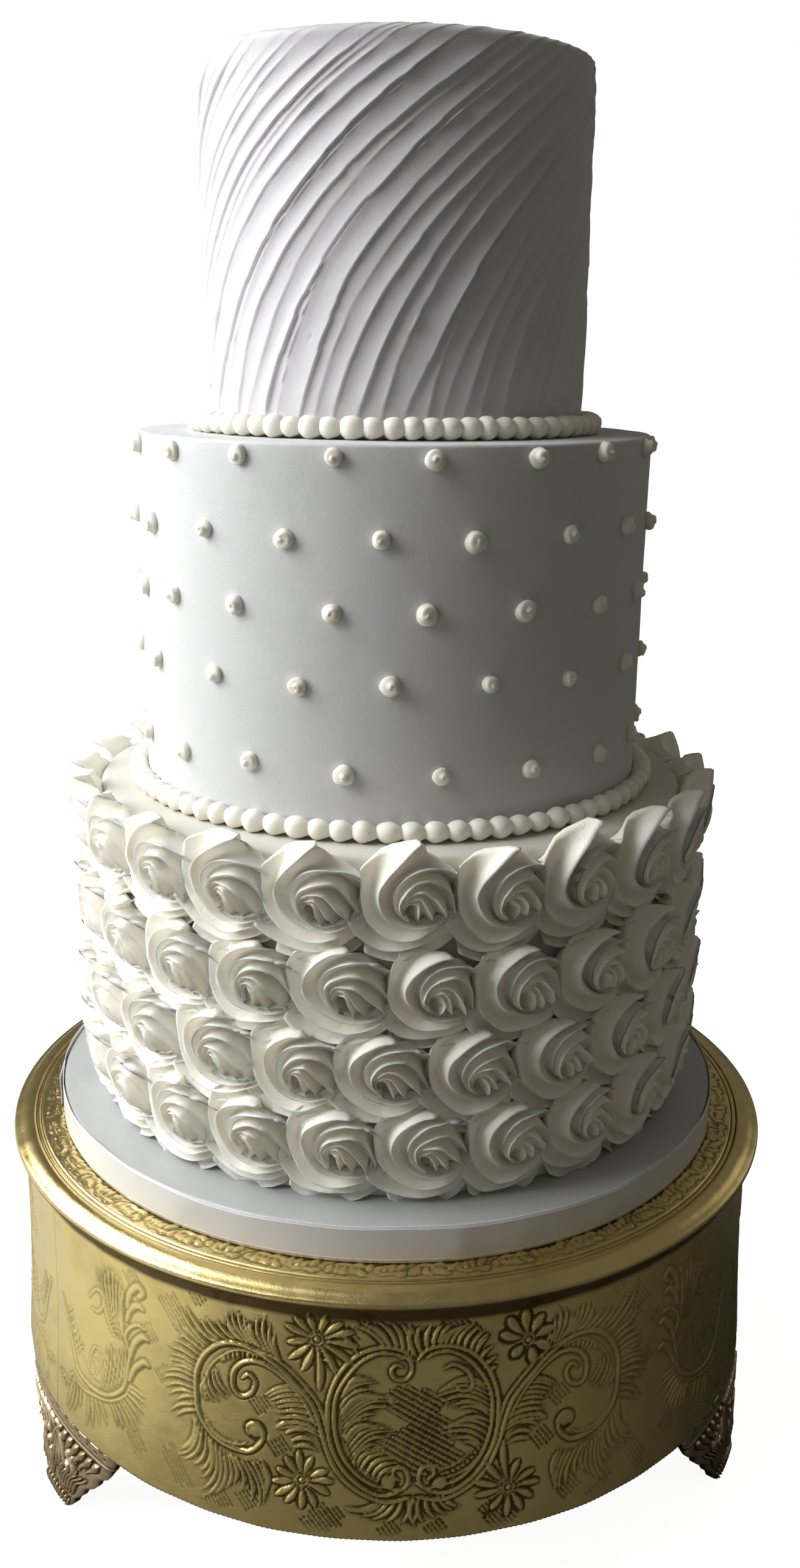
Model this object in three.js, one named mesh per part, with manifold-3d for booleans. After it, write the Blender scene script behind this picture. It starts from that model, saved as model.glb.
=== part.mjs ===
// A three-tier buttercream wedding cake on its ribboned board and its footed gold stand.
// Millimetres, +Z up. The front faces -Y. The origin is on the floor, on the stand's axis.
import * as THREE from "three";
import { mergeVertices } from "three/addons/utils/BufferGeometryUtils.js";
import Module from "manifold-3d";

const wasm = await Module();
wasm.setup();

const DEGREE = Math.PI / 180;

// Pieces that rest on each other, or wrap round each other, keep this gap.
const GAP = 0.3;
const ROUND_SIDES = 48;

// Stand: three cast feet, an open flared skirt and a top plate with a rolled rim.
const FOOT_HEIGHT = 46;
const FOOT_COUNT = 3;
const FOOT_AZIMUTH = -56;
const FOOT_TOP_HALF_WIDTH = 15;
const FOOT_OUTER_RADIUS = 174.5;
const SKIRT_HEIGHT = 103;
const SKIRT_TOP_RADIUS = 169.5;
const SKIRT_WAIST_RADIUS = 170;
const SKIRT_BOTTOM_RADIUS = 173.6;
const SKIRT_WALL = 2.4;
const PLATE_RISE = 7;
const PLATE_THICKNESS = 6;
const RIM_RADIUS = 174.7;
const RIM_INNER_RADIUS = 165.5;

// Board: a covered drum with a satin ribbon round its edge.
const BOARD_RADIUS = 151.4;
const BOARD_THICKNESS = 15;
const RIBBON_THICKNESS = 0.8;
const RIBBON_STAND_UP = 0.8;

// Tiers.
const BOTTOM_TIER_RADIUS = 128.5;
const BOTTOM_TIER_HEIGHT = 141.5;
const MIDDLE_TIER_RADIUS = 108;
const MIDDLE_TIER_HEIGHT = 148;
const TOP_TIER_RADIUS = 79.2;
const TOP_TIER_HEIGHT = 142.5;
const TIER_EDGE_ROUNDING = 1.5;

// Piped rosettes: four staggered rows round the bottom tier, listed from the top row down.
const ROSETTES_PER_ROW = 24;
const ROSETTE_HEIGHTS = [129, 91, 57.5, 25];
const ROSETTE_FIRST_AZIMUTH = 3.2;
const ROSETTE_DEPTH = 15.6;
const ROSETTE_CREST_REACH = 13.2;
const ROSETTE_EYE_REACH = 6.4;
const ROSETTE_EYE_DIP = 2.6;
const ROSETTE_RIDGE = 1.8;
const ROSETTE_LIP = 19.5;
const ROSETTE_SHOULDER_DEPTH = 6;
const ROSETTE_CORNER_DEPTH = 2.4;
const CREST_POINTS = 12;

// Piped dots: five staggered rows on the middle tier, listed from the top row down.
const DOTS_PER_ROW = 18;
const DOT_HEIGHTS = [143.2, 113.8, 87.4, 59.2, 25.4];
const DOT_FIRST_AZIMUTH = 8;
const DOT_RADIUS = 4.2;
const DOT_DEPTH = 4.4;
const DOT_SINK = 1.2;
const DOT_SIDES = 6;

// Piped bead borders round the foot of the middle tier and of the top tier.
const MIDDLE_BEADS = 80;
const TOP_BEADS = 67;
const BEAD_DEPTH = 8.2;
const BEAD_HEIGHT = 8.6;
const BEAD_NECK = 0.66;

// Palette-knife ridges of the top tier, which lean to the right and sweep over more near the top.
const KNIFE_RIDGES = 38;
const KNIFE_RIDGE_DEPTH = 2;
const KNIFE_PLAIN_FOOT = 9.5;
const KNIFE_BANDS = [0, 0.27, 0.55, 0.8, 1];
const KNIFE_FOOT_SLOPE = 0.36;
const KNIFE_TOP_SLOPE = 1;
const KNIFE_SHOULDER = 3.5;

// Heights of the surfaces that the pieces stand on.
const SKIRT_TOP = FOOT_HEIGHT + SKIRT_HEIGHT;
const PLATE_TOP = SKIRT_TOP + PLATE_RISE;
const BOARD_TOP = PLATE_TOP + BOARD_THICKNESS;
const BOTTOM_TIER_TOP = BOARD_TOP + BOTTOM_TIER_HEIGHT;
const MIDDLE_TIER_TOP = BOTTOM_TIER_TOP + MIDDLE_TIER_HEIGHT;
const TOP_TIER_TOP = MIDDLE_TIER_TOP + TOP_TIER_HEIGHT;

// Seeded draws, so that the hand-piped unevenness is the same each time.
function seededDraw(seed) {
  let state = seed;
  return (low, high) => {
    state = (state * 1664525 + 1013904223) % 4294967296;
    return low + ((high - low) * state) / 4294967296;
  };
}

// A closed surface gathered point by point. Azimuth runs from the front towards the right, as
// seen from outside, so corners that run right and then up face outwards.
class Shell {
  constructor() {
    this.points = [];
    this.faces = [];
  }

  point(azimuth, radius, z) {
    this.points.push(radius * Math.sin(azimuth), -radius * Math.cos(azimuth), z);
    return this.points.length / 3 - 1;
  }

  triangle(a, b, c) {
    if (a !== b && b !== c && c !== a) this.faces.push(a, b, c);
  }

  quad(a, b, c, d) {
    this.triangle(a, b, c);
    this.triangle(a, c, d);
  }

  geometry() {
    const geometry = new THREE.BufferGeometry();
    geometry.setAttribute("position", new THREE.Float32BufferAttribute(this.points, 3));
    geometry.setIndex(this.faces);
    geometry.computeVertexNormals();
    return geometry;
  }
}

// Turned body: the profile is a list of [radius, height], up the outside and back inside.
function turned(profile, sides) {
  const points = profile.map(([radius, z]) => new THREE.Vector2(radius, z));
  return new THREE.LatheGeometry(points, sides).rotateX(Math.PI / 2);
}

function pieceMesh(name, geometry, material) {
  const mesh = new THREE.Mesh(geometry, material);
  mesh.name = name;
  return mesh;
}

// Joins neighbouring sections of a ring: each section is a list of point numbers, in the order
// out along the bottom, up the outside and back in along the top.
function joinSections(shell, sections, closed) {
  const count = sections[0].length;
  sections.forEach((section, i) => {
    const next = sections[(i + 1) % sections.length];
    for (let j = 0; j < (closed ? count : count - 1); j += 1) {
      const up = (j + 1) % count;
      shell.quad(section[j], next[j], next[up], section[up]);
    }
  });
}

function goldMetal(color) {
  return new THREE.MeshStandardMaterial({ color, roughness: 0.34, metalness: 1 });
}

function icing(color) {
  return new THREE.MeshStandardMaterial({ color, roughness: 0.55, metalness: 0 });
}

function foilPaper() {
  return new THREE.MeshStandardMaterial({ color: 0xc9ccd0, roughness: 0.5, metalness: 0.3 });
}

function satin() {
  return new THREE.MeshStandardMaterial({ color: 0xf3f2f6, roughness: 0.35, metalness: 0 });
}

// One cast foot: it hangs from the skirt's lower edge and narrows in a curve to a small pad.
function standFoot(azimuth) {
  const outline = [
    { z: 0, halfWidth: 4, outer: 171.5, inner: 160 },
    { z: 12, halfWidth: 7, outer: 173.5, inner: 160.5 },
    { z: 24, halfWidth: 10.5, outer: FOOT_OUTER_RADIUS, inner: 162.5 },
    { z: 38, halfWidth: FOOT_TOP_HALF_WIDTH, outer: 173.2, inner: 165.5 },
    { z: FOOT_HEIGHT - GAP, halfWidth: FOOT_TOP_HALF_WIDTH, outer: 173.6, inner: 166.5 },
  ];
  const across = [-1, -0.5, 0, 0.5, 1];
  const shell = new Shell();
  const wall = (side) =>
    outline.map((level) =>
      across.map((s) => {
        const bulge = side === "outer" ? -1.6 * s * s : 0;
        const turn = (azimuth + s * level.halfWidth) * DEGREE;
        return shell.point(turn, level[side] + bulge, level.z);
      }),
    );
  const outer = wall("outer");
  const inner = wall("inner");
  const top = outline.length - 1;
  const right = across.length - 1;
  for (let j = 0; j < top; j += 1) {
    for (let i = 0; i < right; i += 1) {
      shell.quad(outer[j][i], outer[j][i + 1], outer[j + 1][i + 1], outer[j + 1][i]);
      shell.quad(inner[j][i + 1], inner[j][i], inner[j + 1][i], inner[j + 1][i + 1]);
    }
    shell.quad(inner[j][0], outer[j][0], outer[j + 1][0], inner[j + 1][0]);
    shell.quad(outer[j][right], inner[j][right], inner[j + 1][right], outer[j + 1][right]);
  }
  for (let i = 0; i < right; i += 1) {
    shell.quad(inner[0][i], inner[0][i + 1], outer[0][i + 1], outer[0][i]);
    shell.quad(outer[top][i], outer[top][i + 1], inner[top][i + 1], inner[top][i]);
  }
  return shell.geometry();
}

// The skirt is a thin open shell that flares towards its lower edge.
function standSkirt() {
  const top = SKIRT_TOP - GAP;
  const waist = FOOT_HEIGHT + 0.6 * SKIRT_HEIGHT;
  return turned(
    [
      [SKIRT_BOTTOM_RADIUS - SKIRT_WALL, FOOT_HEIGHT],
      [SKIRT_BOTTOM_RADIUS, FOOT_HEIGHT],
      [SKIRT_WAIST_RADIUS, waist],
      [SKIRT_TOP_RADIUS, top],
      [SKIRT_TOP_RADIUS - SKIRT_WALL, top],
      [SKIRT_WAIST_RADIUS - SKIRT_WALL, waist],
      [SKIRT_BOTTOM_RADIUS - SKIRT_WALL, FOOT_HEIGHT],
    ],
    ROUND_SIDES,
  );
}

// The top plate ends in a convex rolled rim that overhangs the skirt.
function standTop() {
  return turned(
    [
      [0, PLATE_TOP - PLATE_THICKNESS],
      [RIM_INNER_RADIUS - 1, PLATE_TOP - PLATE_THICKNESS],
      [RIM_INNER_RADIUS, SKIRT_TOP],
      [RIM_RADIUS - 2, SKIRT_TOP],
      [RIM_RADIUS, SKIRT_TOP + 3],
      [RIM_RADIUS - 2, PLATE_TOP - 0.9],
      [RIM_INNER_RADIUS, PLATE_TOP],
      [0, PLATE_TOP],
    ],
    ROUND_SIDES,
  );
}

function cakeBoard() {
  return turned(
    [
      [0, PLATE_TOP + GAP],
      [BOARD_RADIUS, PLATE_TOP + GAP],
      [BOARD_RADIUS, BOARD_TOP],
      [0, BOARD_TOP],
    ],
    ROUND_SIDES,
  );
}

// The ribbon wraps the board's edge and stands a little above it.
function boardRibbon() {
  const inner = BOARD_RADIUS + GAP + 0.05;
  const outer = inner + RIBBON_THICKNESS;
  const low = PLATE_TOP + GAP;
  const high = BOARD_TOP + RIBBON_STAND_UP;
  return turned(
    [
      [inner, low],
      [outer, low],
      [outer, high],
      [inner, high],
      [inner, low],
    ],
    ROUND_SIDES,
  );
}

// A plain tier: a cylinder of cake and icing with a small rounding on its upper edge.
function plainTier(radius, low, high, sides) {
  return turned(
    [
      [0, low],
      [radius, low],
      [radius, high - TIER_EDGE_ROUNDING],
      [radius - TIER_EDGE_ROUNDING, high],
      [0, high],
    ],
    sides,
  );
}

// Two staggered rows meet along a zigzag: down under each upper rosette, up over each lower one.
function zigzag(upperZ, lowerZ) {
  const pitch = upperZ - lowerZ;
  const spacing = (2 * Math.PI * (BOTTOM_TIER_RADIUS + ROSETTE_DEPTH)) / ROSETTES_PER_ROW;
  return { middle: (upperZ + lowerZ) / 2, swing: (spacing * spacing) / (8 * pitch) };
}

// Height of a row's edge above the floor, by quarter of a rosette's spacing: 0 at the centre of
// the rosette, 1 and 3 a quarter off it, and 2 halfway to its neighbour.
function upperEdge(row, quarter) {
  const z = BOARD_TOP + ROSETTE_HEIGHTS[row];
  if (row === 0) return z + [1, 0.87, 0.52, 0.87][quarter] * ROSETTE_LIP;
  const seam = zigzag(BOARD_TOP + ROSETTE_HEIGHTS[row - 1], z);
  return seam.middle + [1, 0, -1, 0][quarter] * seam.swing - 0.5 * GAP - 0.05;
}

function lowerEdge(row, quarter) {
  const z = BOARD_TOP + ROSETTE_HEIGHTS[row];
  if (row === ROSETTE_HEIGHTS.length - 1) return BOARD_TOP + GAP;
  const seam = zigzag(z, BOARD_TOP + ROSETTE_HEIGHTS[row + 1]);
  return seam.middle + [-1, 0, 1, 0][quarter] * seam.swing + 0.5 * GAP + 0.05;
}

// One row of rosettes, fused side by side into a ring. Each is a swirl of ridges that runs from
// its edge over a raised crest and into a dipped eye.
function rosetteRow(row) {
  const shell = new Shell();
  const draw = seededDraw(71 + row);
  const step = 360 / ROSETTES_PER_ROW;
  const firstAzimuth = ROSETTE_FIRST_AZIMUTH + (row % 2) * 0.5 * step;
  const centreZ = BOARD_TOP + ROSETTE_HEIGHTS[row];
  const back = (BOTTOM_TIER_RADIUS + GAP) / Math.cos(Math.PI / (4 * ROSETTES_PER_ROW)) + 0.3;
  const edgeDepth = [ROSETTE_CORNER_DEPTH, ROSETTE_SHOULDER_DEPTH, ROSETTE_CORNER_DEPTH];
  const edges = [];
  for (let k = 0; k < ROSETTES_PER_ROW; k += 1) {
    for (let column = -2; column < 2; column += 1) {
      const azimuth = (firstAzimuth + (k + column / 4) * step) * DEGREE;
      const quarter = (column + 4) % 4;
      const front = back + edgeDepth[Math.abs(column)];
      const high = upperEdge(row, quarter);
      const low = lowerEdge(row, quarter);
      edges.push({
        high: shell.point(azimuth, front, high),
        low: shell.point(azimuth, front, low),
        middle: column === -2 ? shell.point(azimuth, back + ROSETTE_SHOULDER_DEPTH, centreZ) : null,
        backHigh: shell.point(azimuth, back, high),
        backLow: shell.point(azimuth, back, low),
      });
    }
  }
  edges.forEach((edge, i) => {
    const next = edges[(i + 1) % edges.length];
    shell.quad(next.backLow, edge.backLow, edge.backHigh, next.backHigh);
    shell.quad(edge.high, next.high, next.backHigh, edge.backHigh);
    shell.quad(edge.backLow, next.backLow, next.low, edge.low);
  });
  for (let k = 0; k < ROSETTES_PER_ROW; k += 1) {
    const own = edges.slice(4 * k, 4 * k + 4);
    const following = edges[(4 * k + 4) % edges.length];
    const border = [
      following.middle,
      following.high,
      ...own.map((edge) => edge.high).reverse(),
      own[0].middle,
      ...own.map((edge) => edge.low),
      following.low,
    ];
    const scale = draw(0.95, 1.05);
    const lift = draw(-0.8, 0.8);
    const twist = draw(-8, 8);
    const shiftZ = draw(-1.2, 1.2);
    const azimuth = firstAzimuth + k * step + draw(-0.4, 0.4);
    const swirlPoint = (angle, reach, height) => {
      const radius = back + height + lift;
      const sideways = reach * scale * Math.cos(angle * DEGREE);
      const z = centreZ + shiftZ + reach * scale * Math.sin(angle * DEGREE);
      return shell.point(azimuth * DEGREE + sideways / radius, radius, z);
    };
    const crest = [];
    const eye = [];
    for (let i = 0; i < CREST_POINTS; i += 1) {
      const ridge = i % 2 === 0 ? ROSETTE_RIDGE : -ROSETTE_RIDGE;
      crest.push(swirlPoint(30 * i + twist, ROSETTE_CREST_REACH, ROSETTE_DEPTH + ridge - 1));
    }
    for (let i = 0; i < CREST_POINTS / 2; i += 1) {
      eye.push(swirlPoint(60 * i + 48 + twist, ROSETTE_EYE_REACH, ROSETTE_DEPTH));
    }
    const centre = swirlPoint(0, 0, ROSETTE_DEPTH - ROSETTE_EYE_DIP);
    for (let i = 0; i < CREST_POINTS; i += 1) {
      const next = (i + 1) % CREST_POINTS;
      shell.quad(crest[i], border[i], border[next], crest[next]);
    }
    for (let i = 0; i < eye.length; i += 1) {
      const next = (i + 1) % eye.length;
      const ridge = crest[(2 * i + 2) % CREST_POINTS];
      shell.triangle(centre, eye[i], eye[next]);
      shell.triangle(eye[i], crest[2 * i], crest[2 * i + 1]);
      shell.triangle(eye[i], crest[2 * i + 1], ridge);
      shell.triangle(eye[i], ridge, eye[next]);
    }
  }
  return shell.geometry();
}

// A bead border: a fused ring whose section swells at each bead and narrows between beads.
function beadBorder(beads, innerRadius, baseZ, seed) {
  const shell = new Shell();
  const draw = seededDraw(seed);
  const back = (innerRadius + GAP) / Math.cos(Math.PI / (2 * beads)) + 0.1;
  const sections = [];
  for (let i = 0; i < 2 * beads; i += 1) {
    const size = i % 2 === 0 ? draw(0.94, 1.06) : BEAD_NECK;
    const azimuth = (i * Math.PI) / beads;
    sections.push([
      shell.point(azimuth, back, baseZ + GAP),
      shell.point(azimuth, back + size * BEAD_DEPTH, baseZ + GAP + 0.34 * size * BEAD_HEIGHT),
      shell.point(azimuth, back, baseZ + size * BEAD_HEIGHT),
    ]);
  }
  joinSections(shell, sections, true);
  return shell.geometry();
}

// The top tier: knife ridges run up its wall, bend over to the right and end in a wavy edge.
function topTier() {
  const shell = new Shell();
  const draw = seededDraw(29);
  const columns = 2 * KNIFE_RIDGES;
  const low = MIDDLE_TIER_TOP + GAP;
  const ridgeFoot = low + KNIFE_PLAIN_FOOT;
  const ridgeTop = TOP_TIER_TOP - KNIFE_SHOULDER;
  const sweep = (share) => {
    const run = share * (ridgeTop - ridgeFoot);
    const slope = KNIFE_FOOT_SLOPE + 0.5 * share * (KNIFE_TOP_SLOPE - KNIFE_FOOT_SLOPE);
    return (run * slope) / TOP_TIER_RADIUS;
  };
  const bottomCentre = shell.point(0, 0, low);
  const topCentre = shell.point(0, 0, TOP_TIER_TOP - 1.5);
  const sections = [];
  for (let i = 0; i < columns; i += 1) {
    const azimuth = ((i + draw(-0.25, 0.25)) * 2 * Math.PI) / columns;
    const relief = i % 2 === 0 ? KNIFE_RIDGE_DEPTH * draw(0.7, 1.1) : -draw(0.1, 0.4);
    const crown = TOP_TIER_TOP - (i % 2 === 0 ? draw(0, 0.8) : draw(1, 2));
    sections.push([
      bottomCentre,
      shell.point(azimuth, TOP_TIER_RADIUS, low),
      ...KNIFE_BANDS.map((share) => {
        const depth = share === 0 ? 0 : relief - 1.2 * (share === 1 ? 1 : 0);
        const z = ridgeFoot + share * (ridgeTop - ridgeFoot);
        return shell.point(azimuth + sweep(share), TOP_TIER_RADIUS + depth, z);
      }),
      shell.point(azimuth + sweep(1), TOP_TIER_RADIUS - KNIFE_SHOULDER, crown),
      topCentre,
    ]);
  }
  joinSections(shell, sections, false);
  return shell.geometry();
}

// A three.js geometry as a solid for joining, and back again.
function solidOf(geometry) {
  const bare = geometry.clone();
  bare.deleteAttribute("normal");
  bare.deleteAttribute("uv");
  const merged = mergeVertices(bare, 1e-4);
  const mesh = new wasm.Mesh({
    numProp: 3,
    vertProperties: merged.attributes.position.array,
    triVerts: new Uint32Array(merged.index.array),
  });
  return new wasm.Manifold(mesh);
}

function geometryOf(solid) {
  const mesh = solid.getMesh();
  const geometry = new THREE.BufferGeometry();
  geometry.setAttribute("position", new THREE.Float32BufferAttribute(mesh.vertProperties, 3));
  geometry.setIndex(Array.from(mesh.triVerts));
  geometry.computeVertexNormals();
  return geometry;
}

// A piped dot: a squat drop with a drawn-up tip, its base sunk in the icing of the wall.
function pipedDot(azimuth, z, size) {
  const height = DOT_DEPTH * size;
  const baseRadius = (DOT_RADIUS * size * (height + DOT_SINK)) / height;
  const points = [
    new THREE.Vector2(0, -DOT_SINK),
    new THREE.Vector2(baseRadius, -DOT_SINK),
    new THREE.Vector2(0, height),
  ];
  return new THREE.LatheGeometry(points, DOT_SIDES)
    .rotateX(Math.PI)
    .translate(0, -MIDDLE_TIER_RADIUS, z)
    .rotateZ(azimuth * DEGREE);
}

function middleTier() {
  const low = BOTTOM_TIER_TOP + GAP;
  let solid = solidOf(plainTier(MIDDLE_TIER_RADIUS, low, MIDDLE_TIER_TOP, ROUND_SIDES));
  const draw = seededDraw(5);
  const step = 360 / DOTS_PER_ROW;
  DOT_HEIGHTS.forEach((height, row) => {
    for (let k = 0; k < DOTS_PER_ROW; k += 1) {
      const azimuth = DOT_FIRST_AZIMUTH + (k + (row % 2) * 0.5) * step + draw(-0.7, 0.7);
      const z = BOTTOM_TIER_TOP + height + draw(-0.6, 0.6);
      solid = solid.add(solidOf(pipedDot(azimuth, z, draw(0.9, 1.1))));
    }
  });
  return geometryOf(solid);
}

const GOLD = 0xb59a4e;
const FOOT_GOLD = 0xc4a27a;
const IVORY = 0xf1e9d6;
const WHITE_ICING = 0xf4f0e6;

const cake = new THREE.Group();
for (let k = 0; k < FOOT_COUNT; k += 1) {
  const azimuth = FOOT_AZIMUTH + (k * 360) / FOOT_COUNT;
  cake.add(pieceMesh(`stand_foot_${k + 1}`, standFoot(azimuth), goldMetal(FOOT_GOLD)));
}
cake.add(pieceMesh("stand_skirt", standSkirt(), goldMetal(GOLD)));
cake.add(pieceMesh("stand_top", standTop(), goldMetal(GOLD)));
cake.add(pieceMesh("cake_board", cakeBoard(), foilPaper()));
cake.add(pieceMesh("board_ribbon", boardRibbon(), satin()));
const bottomTier = plainTier(BOTTOM_TIER_RADIUS, BOARD_TOP + GAP, BOTTOM_TIER_TOP, ROUND_SIDES);
cake.add(pieceMesh("bottom_tier", bottomTier, icing(IVORY)));
ROSETTE_HEIGHTS.forEach((height, row) => {
  cake.add(pieceMesh(`rosette_row_${row + 1}`, rosetteRow(row), icing(IVORY)));
});
const middleBeads = beadBorder(MIDDLE_BEADS, MIDDLE_TIER_RADIUS, BOTTOM_TIER_TOP, 13);
cake.add(pieceMesh("middle_bead_border", middleBeads, icing(WHITE_ICING)));
cake.add(pieceMesh("middle_tier", middleTier(), icing(WHITE_ICING)));
const topBeads = beadBorder(TOP_BEADS, TOP_TIER_RADIUS, MIDDLE_TIER_TOP, 17);
cake.add(pieceMesh("top_bead_border", topBeads, icing(WHITE_ICING)));
cake.add(pieceMesh("top_tier", topTier(), icing(WHITE_ICING)));

export default cake;
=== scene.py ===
# %% [markdown]
# # A three-tier buttercream cake on its gold stand
# The cake has a knife-ribbed top tier, a smooth dotted middle tier and a bottom tier covered in piped
# rosettes. It sits on a foil-covered drum with a satin ribbon, and the drum on an embossed, footed metal
# stand. The solid model of all this is loaded as a fixed frame, and every visible surface is modelled
# round it here. Lengths that a baker or a metalworker would give in millimetres are written with MM.

# %% Load the frame
import math

import bmesh
import bpy
import numpy as np
from mathutils import Matrix, Vector


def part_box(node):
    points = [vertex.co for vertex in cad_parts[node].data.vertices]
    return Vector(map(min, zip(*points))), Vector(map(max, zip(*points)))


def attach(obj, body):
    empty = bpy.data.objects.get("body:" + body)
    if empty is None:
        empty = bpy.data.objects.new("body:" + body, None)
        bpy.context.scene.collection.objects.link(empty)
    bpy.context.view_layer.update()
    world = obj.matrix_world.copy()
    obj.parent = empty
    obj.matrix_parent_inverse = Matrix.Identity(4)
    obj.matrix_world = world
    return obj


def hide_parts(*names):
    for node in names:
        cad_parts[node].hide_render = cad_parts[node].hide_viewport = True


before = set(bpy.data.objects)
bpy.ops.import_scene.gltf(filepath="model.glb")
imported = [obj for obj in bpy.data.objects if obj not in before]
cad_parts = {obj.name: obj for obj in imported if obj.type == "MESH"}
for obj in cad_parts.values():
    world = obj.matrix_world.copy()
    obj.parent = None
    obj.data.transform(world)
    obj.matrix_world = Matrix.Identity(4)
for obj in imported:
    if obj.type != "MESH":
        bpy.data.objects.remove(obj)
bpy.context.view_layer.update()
MM = 0.001

# %% [markdown]
# ## Camera
# The photo was taken from close by and a little above, with the camera tipped down by sixteen degrees.
# Its place came from fitting a pinhole camera to the ellipses of the tiers, the board and the rim. The
# camera also leans by a hair, which the roll gives, and the small shift centres the view like the photo's.

# %% Camera
PHOTO_WIDTH, PHOTO_HEIGHT = 1314, 2576
FOCAL_PIXELS = 2420.2
AXIS_PIXEL_X = 640.5
CAMERA_DISTANCE = 644.3 * MM
CAMERA_HEIGHT = 489.3 * MM
CAMERA_PITCH = math.radians(16.06)
CAMERA_ROLL = 0.0109
SENSOR_WIDTH = 36.0

camera_data = bpy.data.cameras.new("camera")
camera_data.sensor_width = SENSOR_WIDTH
camera_data.lens = FOCAL_PIXELS / PHOTO_HEIGHT * SENSOR_WIDTH
camera_data.shift_x = (PHOTO_WIDTH / 2 - AXIS_PIXEL_X) / PHOTO_HEIGHT
camera_data.clip_start = 0.01
camera = bpy.data.objects.new("camera", camera_data)
bpy.context.scene.collection.objects.link(camera)
tilt = Matrix.Rotation(math.pi / 2 - CAMERA_PITCH, 4, "X") @ Matrix.Rotation(CAMERA_ROLL, 4, "Z")
camera.matrix_world = Matrix.Translation((0, -CAMERA_DISTANCE, CAMERA_HEIGHT)) @ tilt
bpy.context.scene.camera = camera
print("lens in mm", round(camera_data.lens, 2), "shift", round(camera_data.shift_x, 4))

# %% [markdown]
# ## Light and floor
# The real cake stood beside a large window on its left: that side is nearly white and the right side
# falls to a dark grey. One wide soft panel on the left does this. A weak second panel stands for the
# light that the ceiling sends back, and a faint glow behind the right side draws its edge. The room
# itself is dim, and only the camera sees its backdrop as white.

# %% Light and floor
FLOOR_SIZE = 12.0
BACKDROP_WHITE = (1.0, 1.0, 1.0, 1.0)
ROOM_GREY = (1.0, 0.93, 0.80, 1.0)
ROOM_STRENGTH = 0.134
CAKE_MIDDLE = Vector((0, 0, 0.32))


def soft_panel(name, azimuth, height, distance, size, power, colour=(1, 1, 1)):
    """A rectangular area light that looks at the middle of the cake; azimuth 0 is the camera's side."""
    data = bpy.data.lights.new(name, "AREA")
    data.shape = "RECTANGLE"
    data.size, data.size_y = size
    data.energy = power
    data.color = colour
    lamp = bpy.data.objects.new(name, data)
    turn = math.radians(azimuth)
    lamp.location = (distance * math.sin(turn), -distance * math.cos(turn), height)
    aim = CAKE_MIDDLE - lamp.location
    lamp.rotation_euler = aim.to_track_quat("-Z", "Y").to_euler()
    bpy.context.scene.collection.objects.link(lamp)


DAYLIGHT, LAMPLIGHT = (0.95, 0.98, 1.0), (1.0, 0.94, 0.82)
soft_panel("window", azimuth=-90, height=1.15, distance=1.4, size=(1.8, 1.3), power=57, colour=DAYLIGHT)
soft_panel("ceiling", azimuth=-65, height=1.7, distance=1.1, size=(1.2, 1.2), power=5.4)
soft_panel("far_right", azimuth=118, height=0.6, distance=1.6, size=(0.7, 1.0), power=0.8, colour=LAMPLIGHT)

world = bpy.data.worlds.new("room")
world.use_nodes = True
bpy.context.scene.world = world
room = world.node_tree
room.nodes.clear()
dim = room.nodes.new("ShaderNodeBackground")
dim.inputs["Color"].default_value = ROOM_GREY
dim.inputs["Strength"].default_value = ROOM_STRENGTH
seen = room.nodes.new("ShaderNodeBackground")
seen.inputs["Color"].default_value = BACKDROP_WHITE
ray = room.nodes.new("ShaderNodeLightPath")
either = room.nodes.new("ShaderNodeMixShader")
sky = room.nodes.new("ShaderNodeOutputWorld")
room.links.new(ray.outputs["Is Camera Ray"], either.inputs["Fac"])
room.links.new(dim.outputs[0], either.inputs[1])
room.links.new(seen.outputs[0], either.inputs[2])
room.links.new(either.outputs[0], sky.inputs["Surface"])
bpy.context.scene.view_settings.view_transform = "Standard"

bpy.ops.object.select_all(action="DESELECT")
bpy.ops.mesh.primitive_plane_add(size=FLOOR_SIZE, location=(0, 0, 0))
floor = bpy.context.object
floor.name = "floor"
print("floor of", FLOOR_SIZE, "m and three soft panels")

# %% [markdown]
# ## Shader arithmetic
# A material in Blender is a graph of nodes. Written node by node it is long, so one small class wraps a
# socket and lets ordinary Python arithmetic build the Math nodes. Another method adds any other node from
# its type, its settings and what goes into its sockets.

# %% Shader arithmetic


class Value:
    """A socket that carries a number, with the arithmetic that adds Math nodes."""

    def __init__(self, finish, socket):
        self.finish = finish
        self.socket = socket

    def maths(self, operation, other=None, first=None):
        """A Math node of this value and another one; first takes this value's place."""
        inputs = {0: self if first is None else first}
        if other is not None:
            inputs[1] = other
        return self.finish.add("ShaderNodeMath", {"operation": operation}, inputs)

    def __add__(self, other):
        return self.maths("ADD", other)

    __radd__ = __add__

    def __sub__(self, other):
        return self.maths("SUBTRACT", other)

    def __rsub__(self, other):
        return self.maths("SUBTRACT", self, first=other)

    def __mul__(self, other):
        return self.maths("MULTIPLY", other)

    __rmul__ = __mul__

    def clamped(self):
        """This value, kept from 0 to 1."""
        return self.maths("MINIMUM", 1.0).maths("MAXIMUM", 0.0)


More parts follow.
